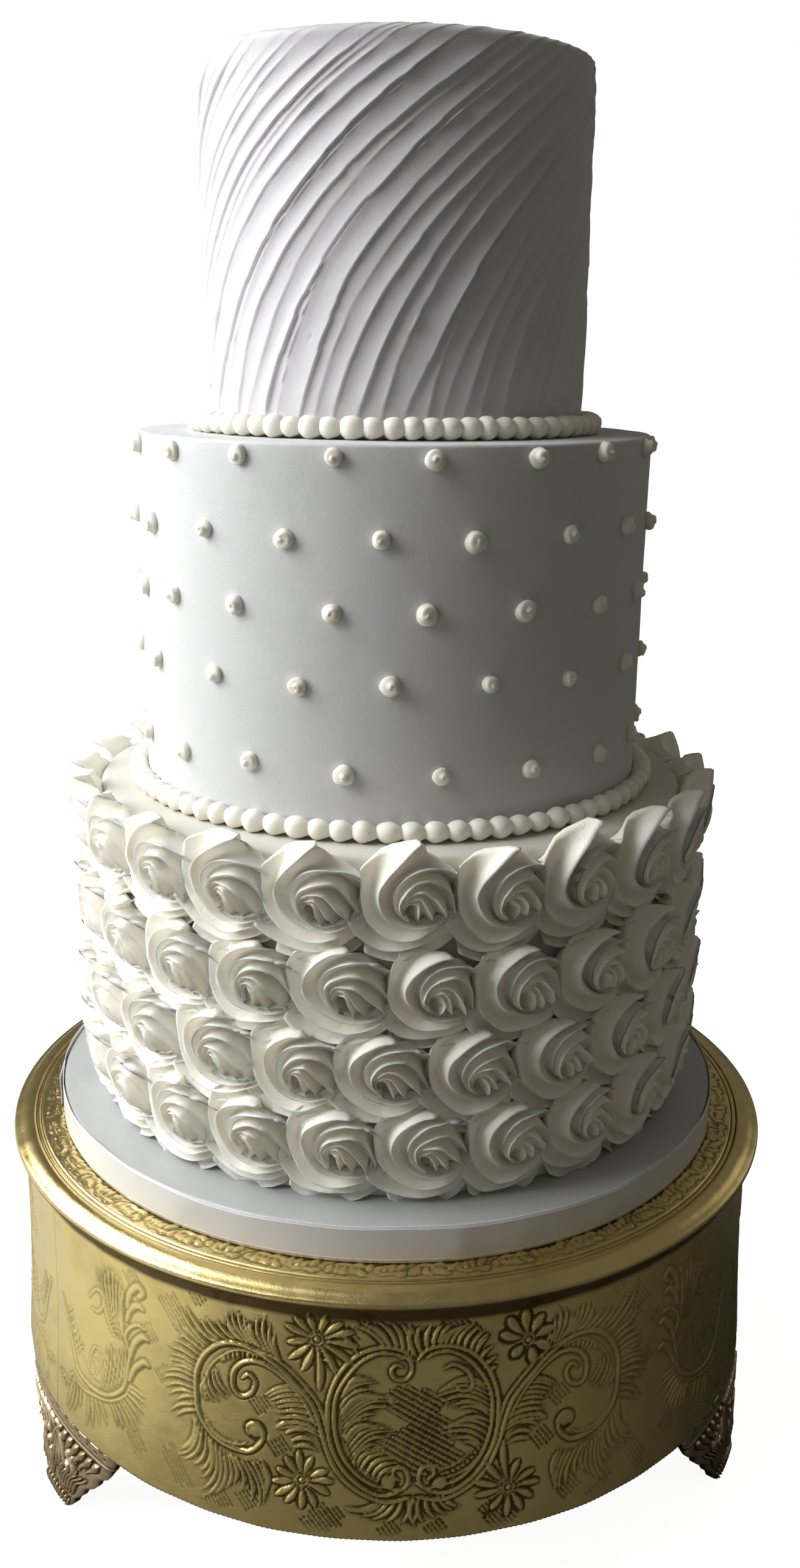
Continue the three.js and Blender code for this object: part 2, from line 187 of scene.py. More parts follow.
class Finish:
    """One material, with the method that adds a node to it and a few everyday patterns."""

    def __init__(self, name, **shader):
        self.material = bpy.data.materials.new(name)
        self.material.use_nodes = True
        self.tree = self.material.node_tree
        self.tree.nodes.clear()
        self.shader = self.tree.nodes.new("ShaderNodeBsdfPrincipled")
        output = self.tree.nodes.new("ShaderNodeOutputMaterial")
        self.tree.links.new(self.shader.outputs[0], output.inputs[0])
        for socket, value in shader.items():
            socket = socket.replace("_", " ").title().replace("Ior", "IOR")
            self.shader.inputs[socket].default_value = value

    def add(self, kind, settings=None, inputs=None, output=0):
        """Any node: its settings are set first, then its sockets get a number, a colour or a link."""
        node = self.tree.nodes.new(kind)
        for setting, value in (settings or {}).items():
            setattr(node, setting, value)
        for socket, value in (inputs or {}).items():
            if isinstance(value, Value):
                self.tree.links.new(value.socket, node.inputs[socket])
            else:
                node.inputs[socket].default_value = value
        return Value(self, node.outputs[output])

    def feed(self, socket, value):
        """Links a value to a socket of the material's shader."""
        self.tree.links.new(value.socket, self.shader.inputs[socket])

    def place(self, scale=(1, 1, 1)):
        """Object coordinates, stretched so that a pattern can be longer one way than another."""
        where = self.add("ShaderNodeTexCoord", output="Object")
        return self.add("ShaderNodeMapping", None, {"Vector": where, "Scale": scale})

    def attribute(self, name):
        """A number that the mesh carries at every point."""
        return self.add("ShaderNodeAttribute", {"attribute_name": name}, output="Fac")

    def noise(self, size, detail=2.0, stretch=(1, 1, 1)):
        """Noise whose blobs are size metres across, from 0 to 1."""
        inputs = {"Vector": self.place(stretch), "Scale": 1 / size, "Detail": detail}
        return self.add("ShaderNodeTexNoise", None, inputs)

    def between(self, low, high, value):
        """0 where value is low and 1 where it is high, eased in between."""
        inputs = {"Value": value, "From Min": low, "From Max": high}
        return self.add("ShaderNodeMapRange", {"interpolation_type": "SMOOTHSTEP"}, inputs)

    def mix(self, first, second, share):
        """A colour from first to second as share goes from 0 to 1."""
        inputs = {0: share, 6: first, 7: second}
        return self.add("ShaderNodeMix", {"data_type": "RGBA"}, inputs, output=2)

    def relief(self, height, depth):
        """A Bump node for height, where 1 stands for depth metres."""
        inputs = {"Strength": 1.0, "Distance": depth, "Height": height}
        self.feed("Normal", self.add("ShaderNodeBump", None, inputs, output="Normal"))


def rgb(red, green, blue):
    """A colour socket's value, with full opacity."""
    return (red, green, blue, 1.0)


print("shader arithmetic ready")

# %% [markdown]
# ## The finishes
# Buttercream is butter and sugar beaten together. It is matt with a soft sheen, and light goes a little way
# into it. In deep grooves it looks a warmer ivory, because the light there has bounced off more butter;
# that bounced light, and the shade in grooves and under edges, is painted into the colour. Each piped piece
# carries a number at every point, hollow, which is 1 at the bottom of a groove, and the colour follows it
# from the ridge colour to a painted hollow colour: warmer bounce light for the rosettes, darker shade for
# the rest. Fine grain and pinholes of air come from noise as bump.

# %% Buttercream


def buttercream(name, ridge, hollow, pinhole=0.08, grain_depth=0.05 * MM):
    """Icing, from the colour of its ridges to the painted light and shade of its hollows; pinhole is how
    much its bubbles show.
    """
    finish = Finish(name, subsurface_weight=0.35, subsurface_scale=1.8 * MM, specular_ior_level=0.35)
    finish.shader.inputs["Subsurface Radius"].default_value = (1.0, 0.75, 0.45)
    cloudy = finish.noise(28 * MM, detail=3)
    # Painted light and shade: the colour mixes to the hollow colour where the hollow number is high, with a
    # little random cloud.
    groove = (finish.attribute("hollow") * 0.85 + (cloudy - 0.5) * 0.5).clamped()
    finish.feed("Base Color", finish.mix(ridge, hollow, groove))
    finish.feed("Roughness", 0.46 + finish.noise(6 * MM) * 0.2)
    pinholes = finish.between(0.30, 0.22, finish.noise(1.6 * MM, detail=0))
    fine = finish.noise(0.5 * MM, detail=3)
    finish.relief(fine * 0.7 - pinholes * pinhole + finish.noise(5 * MM) * 0.8, grain_depth * 3)
    return finish.material


# The second colour of each icing is painted: for the piped rosettes a warmer ivory of painted bounce light
# in their grooves and under their edges; for the knife troughs, the beads' undersides and the dots' feet a
# darker painted shade. The smooth tiers carry no hollow number, so only random cloud mixes their two
# colours.
piped_ivory = buttercream("piped_ivory", rgb(0.895, 0.88, 0.83), rgb(0.96, 0.90, 0.77), 0.5, 0.08 * MM)
smooth_ivory = buttercream("smooth_ivory", rgb(0.612, 0.614, 0.610), rgb(0.59, 0.565, 0.51))
# A warmer copy of the smooth icing for the bottom tier: its warmth is painted bounce light for the side
# that shows in the gaps between rosettes, and its top ledge gets the same tint.
ledge_ivory_painted_warmth = buttercream("ledge_ivory_painted_warmth", rgb(0.64, 0.615, 0.55), rgb(0.60, 0.56, 0.48))
knifed_white = buttercream("knifed_white", rgb(0.620, 0.613, 0.650), rgb(0.58, 0.56, 0.57))
bead_ivory = buttercream("bead_ivory", rgb(0.86, 0.83, 0.75), rgb(0.78, 0.71, 0.56), 0.2)

# %% [markdown]
# The stand is thin sheet brass, hammered from behind, then chased with small punches. Handling keeps the
# high parts bright, and a dark brown tarnish stays in the hollows. The metal's colour therefore mixes
# from brass to brown by the same kind of number, and the tarnish is also rougher than the brass. The same
# brown is also painted shadow: the top band of the skirt under the rolled rim and the roll's underside get
# it as the shade of the rim's overhang.

# %% Brass


def brass(name, bright, tarnish_and_shadow_colour):
    """Beaten metal, bright where hands reach it, dark with tarnish in its hollows and with painted shadow
    under the rim.
    """
    finish = Finish(name, metallic=1.0, specular_ior_level=0.5)
    cloudy = finish.noise(45 * MM, detail=4)
    patchy = (cloudy - 0.52) * 0.9 + (finish.noise(13 * MM, detail=5) - 0.5) * 0.5
    # Tarnish and painted shadow: the hollow number carries both the tarnish of the chased hollows and the
    # painted shadow under the rim.
    tarnish_and_shadow = (finish.attribute("hollow") * 1.4 + patchy).clamped()
    worn = finish.between(0.55, 0.75, finish.noise(9 * MM, detail=5))
    finish.feed("Base Color", finish.mix(bright, tarnish_and_shadow_colour, (tarnish_and_shadow * 0.94 + worn * 0.06).clamped()))
    finish.feed("Roughness", (0.16 + tarnish_and_shadow * 0.26 + finish.noise(14 * MM, detail=4) * 0.16).clamped())
    drawn = finish.noise(1.2 * MM, detail=2, stretch=(1, 1, 8))
    stippled = finish.noise(0.7 * MM, detail=2)
    beaten = finish.noise(12 * MM) * 3.5 + finish.noise(38 * MM) * 9
    finish.relief(drawn * 0.5 + stippled * 0.6 + beaten, 0.09 * MM)
    return finish.material


sheet_brass = brass("sheet_brass", rgb(0.84, 0.675, 0.275), rgb(0.095, 0.062, 0.022))
rim_brass = brass("rim_brass", rgb(0.85, 0.68, 0.30), rgb(0.12, 0.080, 0.032))
cast_brass = brass("cast_brass", rgb(0.76, 0.59, 0.37), rgb(0.07, 0.045, 0.02))

# %% [markdown]
# The drum is covered in embossed foil paper, a pale blue-grey that is half matt. The ribbon is white
# satin: long floats of thread make it gleam across its width, and both edges have a stitched line. Its
# pattern follows the ribbon through a UV map, with u along it and v from its lower to its upper edge.

# %% Foil and satin
# How far the stitched line lies from the edge, as a share of the width; waves along and across the ribbon
RIBBON_STITCH = 0.085
PICOT_WAVES, THREAD_WAVES = 5200, 420


def foil(name):
    """Foil paper: a thin metal skin with shallow dents over its fine cells."""
    finish = Finish(name, metallic=0.25, specular_ior_level=0.5)
    cloudy = finish.noise(30 * MM, detail=3)
    finish.feed("Base Color", finish.mix(rgb(0.44, 0.455, 0.455), rgb(0.51, 0.52, 0.515), cloudy))
    finish.feed("Roughness", 0.40 + finish.noise(8 * MM, detail=3) * 0.18)
    dents = {"Vector": finish.place(), "Scale": 1 / (1.5 * MM)}
    cells = finish.add("ShaderNodeTexVoronoi", {"feature": "SMOOTH_F1"}, dents)
    finish.relief(cells * 0.4 + finish.noise(16 * MM), 0.10 * MM)
    return finish.material


def satin(name):
    """Satin that gleams across its threads, with a stitched line and small loops along each edge."""
    finish = Finish(name, specular_ior_level=0.55, sheen_weight=0.25)
    uv = finish.add("ShaderNodeTexCoord", output="UV")
    across = finish.add("ShaderNodeSeparateXYZ", None, {"Vector": uv}, output="Y")
    along = finish.add("ShaderNodeSeparateXYZ", None, {"Vector": uv}, output="X")
    from_edge = 0.5 - (across - 0.5).maths("ABSOLUTE")
    stitch = finish.between(0.025, 0.0, (from_edge - RIBBON_STITCH).maths("ABSOLUTE"))
    picots = ((along * PICOT_WAVES).maths("SINE") * 0.5 + 0.5) * finish.between(0.05, 0.0, from_edge)
    shade = finish.noise(22 * MM, detail=3) * 0.5
    colour = finish.mix(rgb(0.64, 0.63, 0.645), rgb(0.56, 0.55, 0.56), shade)
    finish.feed("Base Color", finish.mix(colour, rgb(0.93, 0.93, 0.94), stitch))
    finish.feed("Roughness", 0.30 + finish.noise(10 * MM, detail=3) * 0.15 + stitch * 0.2)
    threads = (across * THREAD_WAVES).maths("SINE") * 0.5
    finish.relief(threads * 0.25 + stitch * 1.2 + picots + finish.noise(14 * MM) * 2.0, 0.08 * MM)
    return finish.material


drum_foil = foil("drum_foil")
white_satin = satin("white_satin")

floor_finish = Finish("pale_floor", roughness=0.7, emission_strength=0.94)
seen_by_camera = floor_finish.add("ShaderNodeLightPath", output="Is Camera Ray")
floor_shade = floor_finish.noise(0.5, detail=2)
pale = floor_finish.mix(rgb(0.60, 0.60, 0.60), rgb(0.64, 0.64, 0.64), floor_shade)
across = floor_finish.add("ShaderNodeSeparateXYZ", None, {"Vector": floor_finish.place()}, output="X")
# Painted light: to every ray but the camera's the floor is dark, with a lighter strip on the window's side
# at the left, so the brass reflects a painted pool of window light. The camera sees an evenly pale floor
# that glows.
painted_window_light_side = floor_finish.between(-0.15, -0.26, across)
floor_painted_light_for_reflections = floor_finish.mix(rgb(0.125, 0.118, 0.106), rgb(0.50, 0.49, 0.46), painted_window_light_side)
floor_finish.feed("Base Color", floor_finish.mix(floor_painted_light_for_reflections, pale, seen_by_camera))
floor_finish.feed("Emission Color", floor_finish.mix(rgb(0, 0, 0), rgb(1, 1, 1), seen_by_camera))
floor.data.materials.append(floor_finish.material)
print("materials:", [m.name for m in bpy.data.materials if m.users])

# %% [markdown]
# ## Ways of making a piece
# Plain round pieces start as a primitive and are shaped with edit-mode operators. Piped and chased
# surfaces have far more shape than that allows, so they are worked out as arrays of points. These helpers
# turn the arrays into meshes. Azimuth 0 is the front of the cake, and it grows to the right.

# %% Helpers for pieces


def ring_point(azimuth, radius, height):
    """Points in the frame from azimuth in radians, radius and height, as one array."""
    azimuth, radius, height = np.broadcast_arrays(azimuth, radius, height)
    return np.stack([radius * np.sin(azimuth), -radius * np.cos(azimuth), height], axis=-1)


def mesh_piece(name, points, quads, triangles=None):
    """A smooth-shaded object from arrays: points (n, 3), quads (q, 4) and triangles (t, 3)."""
    triangles = np.zeros((0, 3), int) if triangles is None else np.asarray(triangles)
    corners = np.concatenate([np.asarray(quads).ravel(), triangles.ravel()]).astype(np.int32)
    sizes = np.concatenate([np.full(len(quads), 4), np.full(len(triangles), 3)]).astype(np.int32)
    mesh = bpy.data.meshes.new(name)
    mesh.vertices.add(len(points))
    mesh.vertices.foreach_set("co", np.asarray(points, np.float32).ravel())
    mesh.loops.add(len(corners))
    mesh.loops.foreach_set("vertex_index", corners)
    mesh.polygons.add(len(sizes))
    mesh.polygons.foreach_set("loop_start", np.concatenate([[0], np.cumsum(sizes)[:-1]]).astype(np.int32))
    mesh.polygons.foreach_set("use_smooth", np.full(len(sizes), True))
    mesh.update(calc_edges=True)
    piece = bpy.data.objects.new(name, mesh)
    bpy.context.scene.collection.objects.link(piece)
    return piece


def mark_hollows(piece, hollow):
    """Gives every point of a piece the number that its material reads as hollow: painted light and shade in
    the icing, tarnish and painted shadow in the brass.
    """
    layer = piece.data.attributes.new("hollow", "FLOAT", "POINT")
    layer.data.foreach_set("value", np.clip(hollow, 0, 1).astype(np.float32).ravel())


def grid_quads(rows, columns, wrap=False):
    """The quads of a grid of rows by columns points; wrap joins the last column to the first."""
    row = np.arange(rows - 1)[:, None]
    column = np.arange(columns if wrap else columns - 1)[None, :]
    following = (column + 1) % columns
    corners = [row * columns + column, row * columns + following]
    corners += [(row + 1) * columns + following, (row + 1) * columns + column]
    return np.stack(np.broadcast_arrays(*corners), axis=-1).reshape(-1, 4)


def fan(tip, first, sides, flip=False):
    """Triangles from one point to the ring of points that starts at first."""
    ring, after = first + np.arange(sides), first + (np.arange(sides) + 1) % sides
    return np.stack([np.full(sides, tip), *((after, ring) if flip else (ring, after))], 1)


def turned(x, y, angle):
    """Two coordinates after a turn against the clock."""
    return x * math.cos(angle) - y * math.sin(angle), x * math.sin(angle) + y * math.cos(angle)


def finish_piece(piece, finish, slot, *nodes):
    """Gives a piece its material and hides the solids that it stands for; slot is not used."""
    piece.data.materials.clear()
    piece.data.materials.append(finish)
    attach(piece, "root")
    if nodes:
        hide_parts(*nodes)
    triangles = sum(len(face.vertices) - 2 for face in piece.data.polygons)
    print(piece.name, "has", triangles, "triangles")


def node_ring(node):
    """The outer radius, the bottom and the top of a round node, in metres."""
    low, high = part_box(node)
    return (high.x - low.x) / 2, low.z, high.z


print("helpers ready")

# %% [markdown]
# ## Piped rosettes
# A rosette is one turn of the piping bag with an open star tip, held square to the side of the cake. The
# rope of icing starts in the middle, winds round once against the clock, and ends on the right, over its
# own start. The tip gives the rope sharp ribs, so the rosette shows a set of ridges that all wind into the
# eye: the last turn of the rope lies outside, and the fan of its first turn shows above the seam.
#
# Each ridge is given by the places that it runs through, in mm from the eye with x to the right and y up,
# and by its heights off the cake's side. They were read off two rosettes of the photo.

# %% Ridges of one rosette
# The outermost ridge comes first; the last turn ends with the fifth, whose tail lies on the seam
RIDGES = [
    ([(-15.5, -16.8), (-12, -19.2), (-7.5, -21), (-2, -21.8), (4, -21.2), (8.5, -19.8), (12.5, -18.2),
      (17, -15.8), (21.5, -12.5)], (6.5, 6, 5.5, 5, 2)),
    ([(-21, -5.6), (-19.4, -9), (-17, -11.8), (-13.9, -14.2), (-9.9, -16.2), (-5, -17.2), (0, -17.2),
      (4.5, -16.4), (9.2, -15), (13, -13.4), (17.2, -11.5), (21.5, -9)], (10, 8.5, 7.5, 7, 6, 2.5)),
    ([(-13.6, 17.4), (-16.3, 14.4), (-17.3, 10.2), (-17.3, 6), (-17, 2), (-15.7, -2.2), (-13.2, -6.2),
      (-9.8, -9.8), (-6, -12.2), (-2, -13.1), (1.7, -12.9), (5.4, -12.1), (9.2, -10.8), (13.2, -9.4),
      (17.5, -7.8), (21.7, -5.8)], (10, 10, 10, 9.8, 9.2, 8.2, 3)),
    ([(5.8, 18.6), (1.3, 18.3), (-2.8, 16.6), (-6.2, 14.2), (-9, 11.2), (-10.6, 7.8), (-10.9, 4.6),
      (-9.9, 1.2), (-7.8, -1.8), (-5, -4.6), (-1.8, -6.7), (1.6, -8), (5.2, -8.4), (8.8, -8),
      (12.5, -7.2), (16.9, -5.9), (21.5, -4.2)], (13.5, 14.5, 14.5, 13.8, 12.4, 10.5, 8.5, 3.5)),
    ([(20.6, 6.5), (18.8, 9.8), (16.3, 12.7), (13.8, 14.5), (11.1, 15.7), (8, 16.2), (4.9, 16), (2.2, 15.2),
      (-0.4, 13.8), (-2.6, 11.8), (-4.3, 9.2), (-5.2, 6.5), (-5.3, 3.5), (-4.7, 0.5), (-3.4, -2),
      (-1.2, -4.3), (1.4, -5.6), (4.4, -6.2), (8.4, -5.9), (12.6, -5.1), (17, -4), (21, -2.6)],
     (3.5, 10.5, 14.2, 15, 15, 14, 11.5, 9.8, 8.5, 3.5)),
    ([(18.5, -5), (17.4, -0.8), (15.9, 3.2), (14.2, 6.6), (12, 9.2), (9.8, 10.7), (7.2, 11.2), (4.6, 11),
      (2.1, 10.1), (0.1, 8.8), (-1.5, 7), (-2.6, 5), (-3, 2.7), (-2.8, 0.3), (-1.7, -2.2), (0.1, -4.3)],
     (5, 9.5, 13.3, 14.8, 15, 14, 12)),
    ([(15.4, -8.4), (14.4, -4.6), (12.8, -0.8), (10.7, 2.5), (8.6, 4.9), (6.5, 6.6), (4.3, 7.3), (2.1, 7),
      (0.1, 6), (-1.2, 4.3), (-2, 2.2), (-1.9, 0.1), (-1, -2)], (5.5, 11.2, 13.6, 14.5, 14.1, 13, 11)),
    ([(10, -9.4), (9, -5.8), (7.9, -2.6), (6.7, 0.2), (5.3, 2.8), (3.7, 4.5), (2, 4.8), (0.4, 4.1),
      (-0.9, 2.8), (-1.5, 1.1), (-1.3, -0.5)], (5.5, 11.6, 13.6, 13.8, 12.8, 11.2)),
    ([(4.2, -9.4), (4.2, -5.8), (4.2, -2.8), (3.9, 0.2), (3.1, 2.1), (1.7, 2.9), (0.3, 2.6), (-0.7, 1.5),
      (-1.1, -0.2)], (5.5, 11.4, 13.1, 12.8, 11.7, 10.2)),
    ([(1, -9), (0.6, -6.4), (0, -4.8), (-0.7, -3.3), (-1.1, -2), (-1.3, -1), (-1.2, -0.4)],
     (5.5, 8, 7.5, 7)),
]
LAST_TURN_RIDGES = 5
# Petals of the top row: how far the first places of the third and the fourth ridge move out and up
TOP_PETALS = {
    2: [(-2.8, -2.4), (-0.8, -0.6), (0.6, 0)],
    3: [(0.2, 6.2), (2.8, 5.8), (2, 3.4), (0.4, 1.2)],
}
# For each trough of the last turn: how far its start stays back, and how far it swells to the left and up
SET_BACK = np.array([2.4, 2.4, 2.4, 2.4])
PETAL_SET_BACK = np.array([0, 0, -1.6, 5.0])
PETAL_SWELL = np.array([(0, 0), (0, 0), (-2.0, 3.6), (1.4, 2.2)])
ACROSS_TROUGH = np.array([0.0, 0.06, 0.22, 0.42, 0.62, 0.80, 0.93])
# Where between two ridges the trough is deepest, and its depth as a share of their gap
LAST_TROUGH, FIRST_TROUGH = (0.56, 1.0), (0.63, 0.95)
DEEPEST_TROUGH = 6.6
# From this share on, a trough's wall stands square to the inner ridge
STEEP_FROM = 0.7
LAST_COLUMNS, FIRST_COLUMNS = 57, 43
# Above this height, in mm from the eye, a ridge curls away from the cake
CURL_FROM = 11.0
# The hem goes in from the edge in two steps. These multiply the edge's places: first under the edge, with
# what a curl adds to that, and then at the cake, DEEP_FOOT mm inside its side
UNDER_EDGE, UNDER_CURL = np.array([0.96, 0.96, 0.45]), np.array([0, -0.10, 0.24])
AT_CAKE, DEEP_FOOT = np.array([0.88, 0.88, 0.0]), 0.2
EMBEDDED = 1.2 * MM


def through(values, count):
    """A smooth curve through a few values, or points, sampled count times."""
    values = np.asarray(values, float)
    where = np.linspace(0, 1, count) * (len(values) - 1)
    left = np.clip(where.astype(int), 0, len(values) - 2)
    share = where - left
    before, after = values[np.maximum(left - 1, 0)], values[np.minimum(left + 2, len(values) - 1)]
    start, end = values[left], values[left + 1]
    if values.ndim == 2:
        share = share[:, None]
    rise, fall = (end - before) / 2, (after - start) / 2
    cubic = 2 * (start - end) + rise + fall
    square = -3 * start + 3 * end - 2 * rise - fall
    return ((cubic * share + square) * share + rise) * share + start


print("ridges of a rosette:", len(RIDGES) - 1)

# %% [markdown]
# Between two ridges the icing falls gently from the outer crest and rises steeply to the inner one, as the
# star tip shapes it. Where a ridge starts at the rim it flares into the point of a petal, and the trough
# beside it stays behind. In the top row the rope's start also swells and curls away from the cake. The two
# turns are two closed sheets that share one crest.

# %% The sheets of one rosette


def sheet_of_ridges(ridges, columns, deepest, slope, set_backs, swells, flare):
    """Grids of points and hollows, outermost ridge first, each row running from the rim to its end.

    deepest and slope shape the trough, set_backs and swells shape the start of each trough, and flare is
    how far the ridges' starts stand out.
    """
    curves = [through(ridge, columns) for ridge in ridges]
    points, hollows = [], []
    power = math.log(0.5) / math.log(deepest)
    along = np.linspace(0, 1, columns)
    for outer, inner, set_back, swell in zip(curves[:-1], curves[1:], set_backs, swells):
        gap = np.linalg.norm((inner - outer)[:, :2], axis=1)
        ahead = np.gradient(inner[:, :2], axis=0)
        square = np.stack([ahead[:, 1], -ahead[:, 0]], 1) / np.linalg.norm(ahead, axis=1)[:, None]
        apart = ((outer - inner)[:, :2] * square).sum(1)[:, None] * square
        for share in ACROSS_TROUGH:
            trough = 1 - (2 * share**power - 1) ** 2
            row = outer * (1 - share) + inner * share
            if share > STEEP_FROM:
                row[:, :2] = inner[:, :2] + apart * (1 - share)
            row[:, 2] -= np.minimum(gap * slope, DEEPEST_TROUGH) * trough
            length = np.linalg.norm(np.diff(row[:, :2], axis=0), axis=1).sum()
            behind = set_back / length * trough
            later = behind + (1 - behind) * along
            row = np.stack([np.interp(later, along, row[:, k]) for k in range(3)], 1)
            crest = math.exp(-((min(share, 1 - share) / 0.12) ** 2))
            bulge = 4 * share * (1 - share)
            row[:, :2] += np.exp(-along * length / 5)[:, None] * bulge * swell
            tip = crest * flare * np.exp(-along * length / 4.5)[:, None]
            row += tip * row * [0.06, 0.06, 0.10]
            row[:, 2] -= 1.6 * np.exp(-((along * length / 0.9) ** 2))
            points.append(row)
            # The trough's depth is also its hollow number, which paints bounce light into the groove's
            # colour.
            hollows.append(np.full(columns, trough))
    points.append(curves[-1])
    hollows.append(np.zeros(columns))
    return np.array(points), np.array(hollows)


def hemmed(grid, hollows):
    """The grid with sides that go in under it to the cake: points, hollows with painted light on the sides,
    quads and triangles.
    """
    rows, columns = hollows.shape
    index = np.arange(rows * columns).reshape(rows, columns)
    border = np.concatenate([index[0, :-1], index[:-1, -1], index[-1, :0:-1], index[:0:-1, 0]])
    flat = grid.reshape(-1, 3)
    high = np.clip((flat[border, 1:2] - CURL_FROM) / 10, 0, 1)
    under = flat[border] * (UNDER_EDGE + high * UNDER_CURL)
    foot = flat[border] * AT_CAKE - [0, 0, DEEP_FOOT]
    foot[:, 1] = np.minimum(foot[:, 1], CURL_FROM + 2.5)
    points = np.concatenate([flat, under, foot, [foot.mean(0)]])
    count, size = rows * columns, len(border)
    step = np.arange(size)
    after = (step + 1) % size
    first = np.stack([border, count + step, count + after, border[after]], 1)
    second = np.stack([count + step, count + size + step, count + size + after, count + after], 1)
    middle = np.full(size, count + 2 * size)
    cap = np.stack([middle, count + size + after, count + size + step], 1)
    # Painted bounce light: the side under the edge gets 0.7 and the foot at the cake 1, so the sides under
    # a rosette take the hollow colour.
    shade = np.concatenate([hollows.ravel(), np.full(size, 0.7), np.ones(size + 1)])
    return points, shade, np.concatenate([grid_quads(rows, columns), first, second]), cap


def rosette(rng, flare=0.5, petals=0.0):
    """Points in mm, hollows, quads and triangles of one rosette; petals raises those of the top row."""
    curves = []
    for number, (places, heights) in enumerate(RIDGES):
        places = np.array(places, float)
        moved = TOP_PETALS.get(number, [])
        if moved:
            places[: len(moved)] += np.array(moved) * petals
        curve = np.column_stack([through(places, 120), through(heights, 120)])
        sway, tremble = rng.normal(0, 0.28, (7, 3)), rng.normal(0, 0.06, (22, 3))
        curves.append(curve + through(sway, 120) + through(tremble, 120))
    seam = through(curves[LAST_TURN_RIDGES - 1], LAST_COLUMNS)[:FIRST_COLUMNS]
    last = curves[:LAST_TURN_RIDGES]
    first = [seam] + curves[LAST_TURN_RIDGES:]
    set_backs, swells = SET_BACK + PETAL_SET_BACK * petals, PETAL_SWELL * (0.35 + 0.65 * petals)
    outside = hemmed(*sheet_of_ridges(last, LAST_COLUMNS, *LAST_TROUGH, set_backs, swells, flare))
    flush, level = np.zeros(len(first) - 1), np.zeros((len(first) - 1, 2))
    inside = hemmed(*sheet_of_ridges(first, FIRST_COLUMNS, *FIRST_TROUGH, flush, level, 0))
    offset = len(outside[0])
    points = np.concatenate([outside[0], inside[0]])
    shade = np.concatenate([outside[1], inside[1]])
    quads = np.concatenate([outside[2], inside[2] + offset])
    triangles = np.concatenate([outside[3], inside[3] + offset])
    return points, shade, quads, triangles


sample = rosette(np.random.default_rng(0))
sample_size = sample[0].max(0) - sample[0].min(0)
print("a rosette measures", [round(float(v), 1) for v in sample_size], "mm")

# %% [markdown]
# The rosettes go round the bottom tier in four rows of twenty-four. The baker piped them by eye, so the
# rows are staggered unevenly: each row's first azimuth is the one that the photo shows. The top row
# stands a little prouder, and its petals rise above the tier's edge, most of all at the front. A row is
# one joined mesh.

# %% Four rows of rosettes
ROSETTES_PER_ROW = 24
# Mean and spread of a rosette's size, its turn in degrees and its place in mm
ROSETTE_SIZE, ROSETTE_TURN, ROSETTE_DRIFT = (1.055, 0.025), (0, 4), (0, 0.6)
# Of each row from the top: height, first azimuth in degrees, how proud it stands, flare and petals
ROSETTE_ROWS = [
    (300.0 * MM, 2.8, 1.3 * MM, 0.9, 1.0),
    (262.3 * MM, 7.2, 0.5 * MM, 0.5, 0.0),
    (228.6 * MM, -0.2, 0.2 * MM, 0.5, 0.0),
    (196.2 * MM, 6.3, 0.0, 0.5, 0.0),
]
# The eye sits below the middle of its row, in mm
EYE = np.array([-0.6, -4.6])
# How far each rosette's outline sways, in mm, and how much prouder it stands on its right than on its left
OUTLINE_SWAY, PROUD_RIGHT = 0.5, 0.10
tier_radius, tier_bottom, tier_top = node_ring("bottom_tier")


def rosette_row(name, seed, height, first_azimuth, proud, flare, petals):
    """A joined row of rosettes round the bottom tier, each of its own size, turn and petals."""
    rng = np.random.default_rng(seed)
    all_points, all_hollows, all_quads, all_triangles = [], [], [], []
    offset = 0
    for k in range(ROSETTES_PER_ROW):
        azimuth = math.radians(first_azimuth + 360 / ROSETTES_PER_ROW * k)
        raised = petals * rng.uniform(0.45, 1.0) * (0.65 + 0.35 * math.cos(azimuth))
        points, hollow, quads, triangles = rosette(rng, flare, raised)
        size, turn = rng.normal(*ROSETTE_SIZE), rng.normal(*np.radians(ROSETTE_TURN))
        sway = OUTLINE_SWAY * np.sin(points[:, [1, 0]] * 0.16 + rng.uniform(0, 6, 2))
        points[:, 2] += np.clip(points[:, 0], -20, 12) * PROUD_RIGHT * np.maximum(points[:, 2], 0) / 12
        flat = points[:, :2] + sway + EYE
        x, y = turned(flat[:, 0], flat[:, 1], turn)
        x, y = x * size + rng.normal(*ROSETTE_DRIFT), y * size + rng.normal(*ROSETTE_DRIFT)
        spread = azimuth + x * MM / (tier_radius + 9 * MM)
        out = tier_radius - EMBEDDED + proud + points[:, 2] * MM
        all_points.append(ring_point(spread, out, height + y * MM))
        all_hollows.append(hollow)
        all_quads.append(quads + offset)
        all_triangles.append(triangles + offset)
        offset += len(points)
    points, quads = np.concatenate(all_points), np.concatenate(all_quads)
    piece = mesh_piece(name, points, quads, np.concatenate(all_triangles))
    mark_hollows(piece, np.concatenate(all_hollows))
    return piece


for row, place in enumerate(ROSETTE_ROWS):
    rosettes = rosette_row(f"piped_rosettes_{row + 1}", 40 + row, *place)
    finish_piece(rosettes, piped_ivory, "buttercream_ivory", f"rosette_row_{row + 1}")

# %% [markdown]
# ## The smooth tiers
# The bottom and middle tiers are spread with a flat scraper against a turntable. The side is very even,
# with a soft edge at the top. Each is a cylinder primitive: its edges are bevelled, its side and top are
# subdivided, and a Displace modifier with a broad cloud texture gives the hand's unevenness.

# %% Edit-mode helpers


def only(piece):
    """Selects one piece alone and makes it the active one."""
    bpy.ops.object.select_all(action="DESELECT")
    bpy.context.view_layer.objects.active = piece
    piece.select_set(True)


